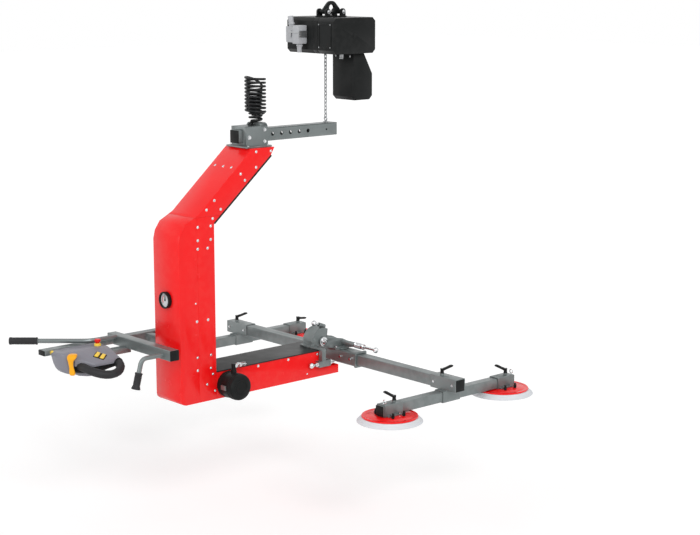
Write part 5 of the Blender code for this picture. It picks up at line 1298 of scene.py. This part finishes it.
# Each row: y, how far the ring is pulled in, and its lowest level.
UPPER_ROWS = [(NEAR_END + SEAM_WIDTH, 0.0006, SPLIT_LEVEL), (-1.1300, 0.0, SPLIT_LEVEL),
              (-1.0980, 0.0, SPLIT_LEVEL), (-1.0100, 0.0, SPLIT_LEVEL), (-0.9860, 0.0010, SPLIT_LEVEL),
              (-0.9780, 0.0040, SPLIT_LEVEL), (-0.9750, 0.0090, SPLIT_LEVEL + 0.004)]
# Each row: y, left side, right side, lowest level and corner radius.
LOWER_ROWS = [(NEAR_END + 0.0012, -0.2400, -0.1360, -1.3160, 0.010),
              (-1.1250, -0.2390, -0.1080, -1.3180, 0.012),
              (-1.1000, -0.2390, -0.0830, -1.3180, 0.012), (-1.0600, -0.2390, -0.0800, -1.3170, 0.012),
              (-1.0320, -0.2380, -0.0790, -1.3100, 0.009), (-1.0080, -0.2360, -0.0790, -1.3055, 0.006),
              (-0.9800, -0.2300, -0.0860, -1.3030, 0.005)]
BULGE_ROWS = [(-1.1400, -0.2000, -0.1460, -1.3200, 0.006), (-1.1300, -0.2080, -0.1260, -1.3300, 0.008),
              (-1.1080, -0.2120, -0.1000, -1.3308, 0.010), (-1.0800, -0.2080, -0.0900, -1.3304, 0.010),
              (-1.0620, -0.1950, -0.1050, -1.3220, 0.006)]
near_shell = loft([section(UNIT_NEAR + along, inset, bottom, True) for along, inset, bottom in NEAR_ROWS])
seam = loft([section(y, SEAM_DEPTH, -1.3190, True)
             for y in (NEAR_END - 0.0010, NEAR_END + SEAM_WIDTH + 0.001)])
upper_shell = loft([section(*row) for row in UPPER_ROWS])
lower_shell = loft([rounded_rectangle(y, left, right, low, SPLIT_LEVEL + 0.003, corner)
                    for y, left, right, low, corner in LOWER_ROWS])
bulge = loft([rounded_rectangle(y, left, right, low, low + 0.030, corner)
              for y, left, right, low, corner in BULGE_ROWS])

# %% Button pockets and frames
BUTTON_BACK = 0.037
BUTTON_Y = -1.050
BUTTON_STEP = 0.0215
BUTTON_LEAN = 39
POCKET = (0.0076, 0.0174)
FRAME_EDGE = (0.0104, 0.0204)
STOP_HOLE = 0.0077
button_spot = (UNIT_RIGHT - BUTTON_BACK, BUTTON_Y, slope_level(UNIT_RIGHT - BUTTON_BACK))
on_slope = Matrix.Translation(button_spot) @ Matrix.Rotation(SLOPE_FALL, 4, "Y")
on_slope = on_slope @ Matrix.Rotation(math.radians(BUTTON_LEAN), 4, "Z")


def plate_on_slope(half, low, high, edge=0.0):
    """A plate of half the given width and length, from a low to a high level."""
    return slab((-half[0], -half[1], low), (*half, high), edge)


pockets, button_frames = [], []
for sign in (-1, 1):
    place = on_slope @ Matrix.Translation((sign * BUTTON_STEP / 2, 0, 0))
    pockets.append(moved(plate_on_slope(POCKET, -0.0062, 0.010), place))
    rim = carve(plate_on_slope(FRAME_EDGE, -0.0004, 0.0016, 0.0007), [plate_on_slope(POCKET, -0.005, 0.005)])
    button_frames.append(moved(rim, place))
stop_low, stop_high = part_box("stop_button")
stop_x, stop_y = (stop_low.x + stop_high.x) / 2, (stop_low.y + stop_high.y) / 2
stop_hole = [(0, 0), (STOP_HOLE, 0), (STOP_HOLE, 0.03), (0, 0.03)]
pockets.append(lathe(stop_hole, (stop_x, stop_y, -1.2560), UP, 32))
piece("control_upper_shell", "frame", "grey_plastic", carve(upper_shell, pockets),
      stands_for=("control_housing",), smooth=32)
piece("control_near_shell", "frame", "grey_plastic", near_shell, bulge, smooth=32)
piece("control_lower_shell", "frame", "black_plastic", lower_shell, seam, smooth=40)
piece("button_frames", "frame", "black_plastic", *button_frames)
stop_collar = [(STOP_HOLE, 0), (0.0132, 0), (0.0128, 0.006), (0.0118, 0.0095), (0.0105, 0.0102),
               (STOP_HOLE, 0.0102)]
piece("control_yellow_parts", "frame", "yellow_plastic",
      lathe(stop_collar, (stop_x, stop_y, UNIT_TOP - 0.0004), UP, 40, close=True),
      slab((-0.2446, -1.1830, -1.2600), (-0.2250, -1.1660, -1.2452), 0.003))
unit_places = [(x, y, UNIT_TOP - 0.0002) for x, y in ((-0.182, -1.130), (-0.215, -1.125), (-0.215, -0.998))]
piece("control_screws", "frame", "steel", screws(unit_places, TO_TOP, 0.0028, 0.0012, "steel"))

# %% D handle's collar and the orange lever
LEVER_JOINT = (-0.13421, -1.15763, -1.2550)
COLLAR_PROFILE = [(0.0155, 0.0), (0.0185, 0.0), (0.0190, 0.0020), (0.0180, 0.0050), (0.0165, 0.0060),
                  (0.0155, 0.0060)]
# Each row: height, back and front of the lever, then its near and far edges along the housing's corner.
LEVER_ROWS = [(0.0124, -0.0100, 0.0060, -0.0060, 0.0130), (0.0112, -0.0140, 0.0120, -0.0120, 0.0180),
              (0.0070, -0.0120, 0.0165, -0.0155, 0.0200), (0.0010, -0.0010, 0.0180, -0.0160, 0.0190),
              (-0.0060, 0.0010, 0.0178, -0.0150, 0.0130), (-0.0130, 0.0040, 0.0160, -0.0130, 0.0075),
              (-0.0260, 0.0060, 0.0145, -0.0105, 0.0060), (-0.0400, 0.0060, 0.0140, -0.0085, 0.0080),
              (-0.0510, 0.0045, 0.0155, -0.0095, 0.0118), (-0.0600, 0.0030, 0.0165, -0.0085, 0.0130),
              (-0.0655, 0.0035, 0.0150, -0.0060, 0.0105), (-0.0668, 0.0060, 0.0120, -0.0030, 0.0070)]
piece("d_handle_collar", "frame", "black_plastic",
      lathe(COLLAR_PROFILE, (UNIT_RIGHT, -0.9940, -1.2910), RIGHT, 40, close=True))
lever_turn = Matrix.Translation(LEVER_JOINT) @ Matrix.Rotation(math.radians(-45), 4, "Z")
rows = []
for height, back, front, near, far in LEVER_ROWS:
    corner = min(front - back, far - near) * 0.32
    flat = rounded_rectangle(0, back, front, near, far, corner)
    rows.append([lever_turn @ Vector((point.x, point.z, height)) for point in flat])
piece("control_lever_finished", "lever", "orange_plastic", loft(rows), stands_for=("control_lever",),
      smooth=60)
tell("grips and control unit")

# %% [markdown]
# ## Suction pads
# Each pad is a flexible lip under a red disc. The lip is a lathe, because a sealing lip has round rings.
# The bolts and the small springs repeat on every pad, so they come from the node trees,
# and one function dresses all four pads from the boxes of their CAD nodes.

# %% Pad discs, lips, bolts and springs
DISC_PROFILE = [(0, 0), (0.1050, 0), (0.1060, 0.001), (0.1060, 0.0048), (0.1048, 0.0060), (0.0960, 0.0060),
                (0.0945, 0.0052), (0.0900, 0.0052), (0.0885, 0.0060), (0, 0.0060)]
LIP_PROFILE = [(0.0905, 0.0178), (0.1090, 0.0178), (0.1100, 0.0170), (0.1115, 0.0135), (0.1150, 0.0120),
               (0.1158, 0.0090), (0.1200, 0.0075), (0.1208, 0.0050), (0.1245, 0.0032), (0.1250, 0.0015),
               (0.1240, 0.0), (0.1080, 0.0), (0.1050, 0.0012), (0.1010, 0.0070), (0.0905, 0.0140)]
POST_PROFILE = [(0, 0), (0.0030, 0), (0.0030, 0.0150), (0.0048, 0.0152), (0.0048, 0.0180), (0.0036, 0.0190),
                (0, 0.0190)]


def four_round(x, y, z, aside, along):
    """Four places round a middle."""
    return [(x + dx, y + dy, z) for dx in (-aside, aside) for dy in (-along, along)]


def dress_pad(place):
    """The looks of one suction pad."""
    body = "pad_" + place
    disc, lip, carrier = "pad_disc_" + place, "pad_lip_" + place, "pad_carrier_" + place
    low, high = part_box(disc)
    x, y = (low.x + high.x) / 2, (low.y + high.y) / 2
    piece(disc + "_finished", body, "red_coat", lathe(DISC_PROFILE, (x, y, low.z), UP, 96),
          stands_for=(disc,))
    piece(lip + "_finished", body, "white_rubber",
          lathe(LIP_PROFILE, (x, y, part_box(lip)[0].z), UP, 96, close=True), stands_for=(lip,))
    bolt_places = four_round(x, y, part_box(carrier)[0].z + 0.0055, 0.0277, 0.024)
    piece("pad_bolts_" + place, body, "bright_steel", bolts(bolt_places, TO_TOP, 0.0036, 0.0035))
    spring_places = four_round(x, y, high.z + 0.0004, 0.047, 0.028)
    springs = grow(SPRINGS, spring_places, "black_coat", Radius=0.0055, Wire=0.0010, Height=0.0120, Turns=5.0)
    posts = [lathe(POST_PROFILE, spot, UP, 20) for spot in spring_places]
    piece("pad_springs_" + place, body, "black_coat", springs, *posts)


for place in PAD_PLACES:
    dress_pad(place)
tell("suction pads")

# %% [markdown]
# ## Wing levers
# A clamp lever has a round hub and one wing that sweeps up to a broad tip.
# A loft through a few oval rings gives that shape, and one function makes all six.

# %% Wing levers
HUB_RADIUS = 0.0080
HUB_PROFILE = [(0, 0), (HUB_RADIUS, 0), (HUB_RADIUS, 0.002), (0.0072, 0.003), (0.0068, 0.013),
               (0.0076, 0.0155), (0.0074, 0.0190), (0.0060, 0.0200), (0, 0.0200)]
# Each row: share of the reach, rise, half the width and half the thickness.
WING_ROWS = ((0.00, 0.0140, 0.0080, 0.0060), (0.18, 0.0148, 0.0074, 0.0056), (0.40, 0.0165, 0.0068, 0.0050),
             (0.62, 0.0188, 0.0076, 0.0050), (0.82, 0.0206, 0.0088, 0.0048), (0.94, 0.0214, 0.0082, 0.0038),
             (1.00, 0.0216, 0.0046, 0.0016))
WING_SIDES = 16


def wing_lever(node, direction):
    """Hub, screw and a wing that rises in the given direction."""
    low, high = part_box(node)
    along = Vector(direction)
    across = Vector((-along.y, along.x, 0))
    hub = Vector(((low.x + high.x) / 2, (low.y + high.y) / 2, low.z))
    if along.x < 0:
        hub.x, reach = high.x - HUB_RADIUS, high.x - HUB_RADIUS - low.x
    elif along.x > 0:
        hub.x, reach = low.x + HUB_RADIUS, high.x - low.x - HUB_RADIUS
    else:
        hub.y, reach = low.y + HUB_RADIUS, high.y - low.y - HUB_RADIUS
    rows = []
    for share, rise, wide, thick in WING_ROWS:
        centre = hub + along * (reach * share) + Vector((0, 0, rise))
        rows.append([centre + across * (wide * math.cos(a)) + Vector((0, 0, thick * math.sin(a)))
                     for a in (FULL_TURN * step / WING_SIDES for step in range(WING_SIDES))])
    body = body_of[node]
    piece(node + "_finished", body, "black_plastic", lathe(HUB_PROFILE, hub, UP, 32), loft(rows),
          stands_for=(node,), smooth=60)
    piece(node + "_screw", body, "bright_steel",
          screws([hub + Vector((0, 0, 0.0198))], TO_TOP, 0.0042, 0.0012))


for side, sign in SIDES:
    wing_lever("traverse_lever_" + side, FAR)
    for end in ("front_", "back_"):
        wing_lever("pad_lever_" + end + side, (-sign, 0, 0))
tell("wing levers")

# %% [markdown]
# ## Head, tilt bracket and sliders
# Bolts, nuts and washers show where the machine is put together, and they sit on the faces that they clamp.
# Index plungers are turned parts, so each guide sleeve is a lathe round the plunger's own axis.

# %% Head bolts and gland nut
GLAND_HOLE = 0.0084
head_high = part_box("head_housing")[1]
gland_place = (0, CABLE_EXIT[1], head_high.z - 0.0120)
head_bolts = [bolts([(0.045, -0.455, -0.478)], TO_RIGHT, 0.0065, 0.005),
              bolts([(-0.045, -0.455, -0.478)], TO_LEFT, 0.0065, 0.005),
              screws([(x, y, -0.5103) for x in (-0.055, 0.055) for y in (-0.468, -0.372)], TO_TOP, 0.0055,
                     0.0035),
              bolts([(0.045, -0.380, z) for z in (-0.497, -0.452)], TO_RIGHT, 0.0055, 0.0045)]
piece("head_bolts", "frame", "bright_steel", *head_bolts)
gland_nut = [(GLAND_HOLE, 0.0), (0.0120, 0.0), (0.0120, 0.0050), (0.0108, 0.0058), (GLAND_HOLE, 0.0058)]
gland_ring = [(GLAND_HOLE, 0.0066), (0.0098, 0.0068), (0.0098, 0.0105), (0.0090, 0.0118),
              (GLAND_HOLE, 0.0118)]
piece("cable_gland_nut", "frame", "black_plastic", lathe(gland_nut, gland_place, UP, 6, close=True),
      lathe(gland_ring, gland_place, UP, 32, close=True))

# %% Axle nuts, bearing plate, hub and slider bolts
AXLE_END = 0.0362
AXLE = (-0.075, -1.336)
dome_nut = [(0, 0), (0.0125, 0), (0.0125, 0.0035), (0.0105, 0.0045), (0.0098, 0.0085), (0.0065, 0.0120),
            (0, 0.0128)]
nuts = [lathe(dome_nut, (sign * AXLE_END, *AXLE), (sign, 0, 0), 24) for side, sign in SIDES]
piece("axle_nuts", "frame", "bright_steel", *nuts)
corner_places = [(x, y, -1.3673) for x in (-0.043, 0.043) for y in (-0.014, 0.074)]
piece("bearing_plate_bolts", "head", "bright_steel", bolts(corner_places, TO_TOP, 0.0050, 0.004))
hub_bolts = [bolts([(x, y, traverse_level) for x in (-0.110, -0.050, 0.050, 0.110)], turn, 0.0050, 0.0035)
             for y, turn in ((0.0015, TO_OPERATOR), (0.0585, TO_FAR))]
piece("hub_bolts", "hub", "bright_steel", *hub_bolts)
for side, sign in SIDES:
    spots = [(sign * 0.640 + dx, 0.0038, traverse_level) for dx in (-0.050, 0.050)]
    piece("slider_bolts_" + side, "cross_" + side, "bright_steel", bolts(spots, TO_OPERATOR, 0.0040, 0.003))

# %% Plunger sleeves, axle washers and eye rings
PLUNGER_HOLE = 0.0062
AXLE_HOLE = 0.0126
axle_washer = [(AXLE_HOLE, 0), (0.0190, 0), (0.0190, 0.0012), (0.0180, 0.0018), (AXLE_HOLE, 0.0018)]
short_sleeve = [(PLUNGER_HOLE, 0.0), (0.0110, 0.0), (0.0110, 0.0060), (0.0092, 0.0070), (0.0092, 0.0120),
                (0.0080, 0.0130), (PLUNGER_HOLE, 0.0130)]
long_sleeve = [(PLUNGER_HOLE, 0.0), (0.0118, 0.0), (0.0118, 0.0060), (0.0106, 0.0070), (0.0106, 0.0420),
               (0.0118, 0.0430), (0.0118, 0.0500), (0.0100, 0.0515), (PLUNGER_HOLE, 0.0515)]
tilt_low, tilt_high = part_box("tilt_plunger")
tilt_x, tilt_level = (tilt_low.x + tilt_high.x) / 2, (tilt_low.z + tilt_high.z) / 2
sleeves = [lathe(short_sleeve, (tilt_x, y, tilt_level), along, 32, close=True)
           for y, along in ((-0.1575, NEAR), (-0.0965, FAR))]
piece("tilt_plunger_sleeves", "frame", "bright_steel", *sleeves)
for side, sign in SIDES:
    piece("axle_washer_" + side, "frame", "bright_steel",
          lathe(axle_washer, (sign * AXLE_END, *AXLE), (sign, 0, 0), 40, close=True))
turn_low, turn_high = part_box("rotation_plunger")
turn_level = (turn_low.z + turn_high.z) / 2
piece("turn_plunger_sleeve", "head", "bright_steel",
      lathe(long_sleeve, (0.1130, TRAVERSE_Y, turn_level), RIGHT, 40, close=True))
rib_places = [(x, TRAVERSE_Y, turn_level) for x in (0.124, 0.130, 0.136, 0.142, 0.148)]
piece("turn_plunger_ribs", "head", "bright_steel", ribs(rib_places, TO_RIGHT, 0.0108, 0.0012))
for place in PAD_PLACES:
    low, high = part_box("pad_carrier_" + place)
    outward = -0.0405 if place.startswith("front") else 0.0405
    aside = -0.014 if place.endswith("left") else 0.014
    ring_place = ((low.x + high.x) / 2 + aside, (low.y + high.y) / 2 + outward, -1.4190)
    piece("pad_eye_ring_" + place, "pad_" + place, "bright_steel",
          ribs([ring_place], TO_OPERATOR, 0.0075, 0.0018))
tell("bolts, sleeves and rings")

# %% [markdown]
# ## Floor and light
# A plain pale floor and soft lamps show the colours about as they are written.
# The floor and the world are white to the camera and to reflections, and dimmer where they light surfaces.
# Light Path tells the two apart, so the background stays bright without more light on the machine.


# %% Background rays
def background_rays(tree):
    """One for a ray that shows the background: straight, mirrored or through glass."""
    rays = tree.nodes.new("ShaderNodeLightPath")
    mirrored = calculate(tree, "MAXIMUM", rays.outputs["Is Glossy Ray"], rays.outputs["Is Transmission Ray"])
    return calculate(tree, "MAXIMUM", rays.outputs["Is Camera Ray"], mirrored)


# %% Floor
FLOOR_LEVEL = -2.0
FLOOR_HALF = 30
FLOOR_COLOUR = (0.92, 0.92, 0.92, 1)
FLOOR_GLOW = 0.22
floor_material = bpy.data.materials.new("floor_white")
floor_material.use_nodes = True
floor_tree = floor_material.node_tree
floor_shader = floor_tree.nodes["Principled BSDF"]
floor_shader.inputs["Base Color"].default_value = FLOOR_COLOUR
floor_shader.inputs["Roughness"].default_value = 0.9
floor_shader.inputs["Emission Color"].default_value = (1, 1, 1, 1)
glow = calculate(floor_tree, "MULTIPLY", background_rays(floor_tree), FLOOR_GLOW)
floor_tree.links.new(glow, floor_shader.inputs["Emission Strength"])
floor_mesh = bpy.data.meshes.new("floor")
corners = [(x * FLOOR_HALF, y * FLOOR_HALF, FLOOR_LEVEL) for x, y in ((-1, -1), (1, -1), (1, 1), (-1, 1))]
floor_mesh.from_pydata(corners, [], [(0, 1, 2, 3)])
floor_mesh.materials.append(floor_material)
floor = bpy.data.objects.new("floor", floor_mesh)
bpy.context.scene.collection.objects.link(floor)
floor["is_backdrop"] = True

# %% World
WORLD_LIGHT = 0.62
world = bpy.data.worlds.new("studio")
world.use_nodes = True
bpy.context.scene.world = world
background = world.node_tree.nodes["Background"]
background.inputs["Color"].default_value = (1, 1, 1, 1)
strength = spread(world.node_tree, background_rays(world.node_tree), 0.0, 1.0, WORLD_LIGHT, 1.0)
world.node_tree.links.new(strength, background.inputs["Strength"])


# %% Lamps
def sun(name, energy, toward, angle):
    """A soft sun that shines in a direction. A wider angle gives softer shadows."""
    lamp = bpy.data.lights.new(name, "SUN")
    lamp.energy = energy
    lamp.angle = math.radians(angle)
    obj = bpy.data.objects.new(name, lamp)
    bpy.context.scene.collection.objects.link(obj)
    obj.rotation_euler = Vector(toward).to_track_quat("-Z", "Y").to_euler()


sun("key_light", 1.15, (-0.80, 0.30, -0.55), 25)
sun("fill_light", 0.55, (0.15, 0.90, -0.45), 40)
bpy.context.scene.view_settings.view_transform = "Standard"

# %% [markdown]
# ## The size of the looks
# The dressed part has to stay inside the CAD model's box, so the box round the shown pieces is printed.

# %% Print the size of the looks
low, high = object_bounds()
print("box of the looks:", [round(value, 4) for value in (*low, *high)])
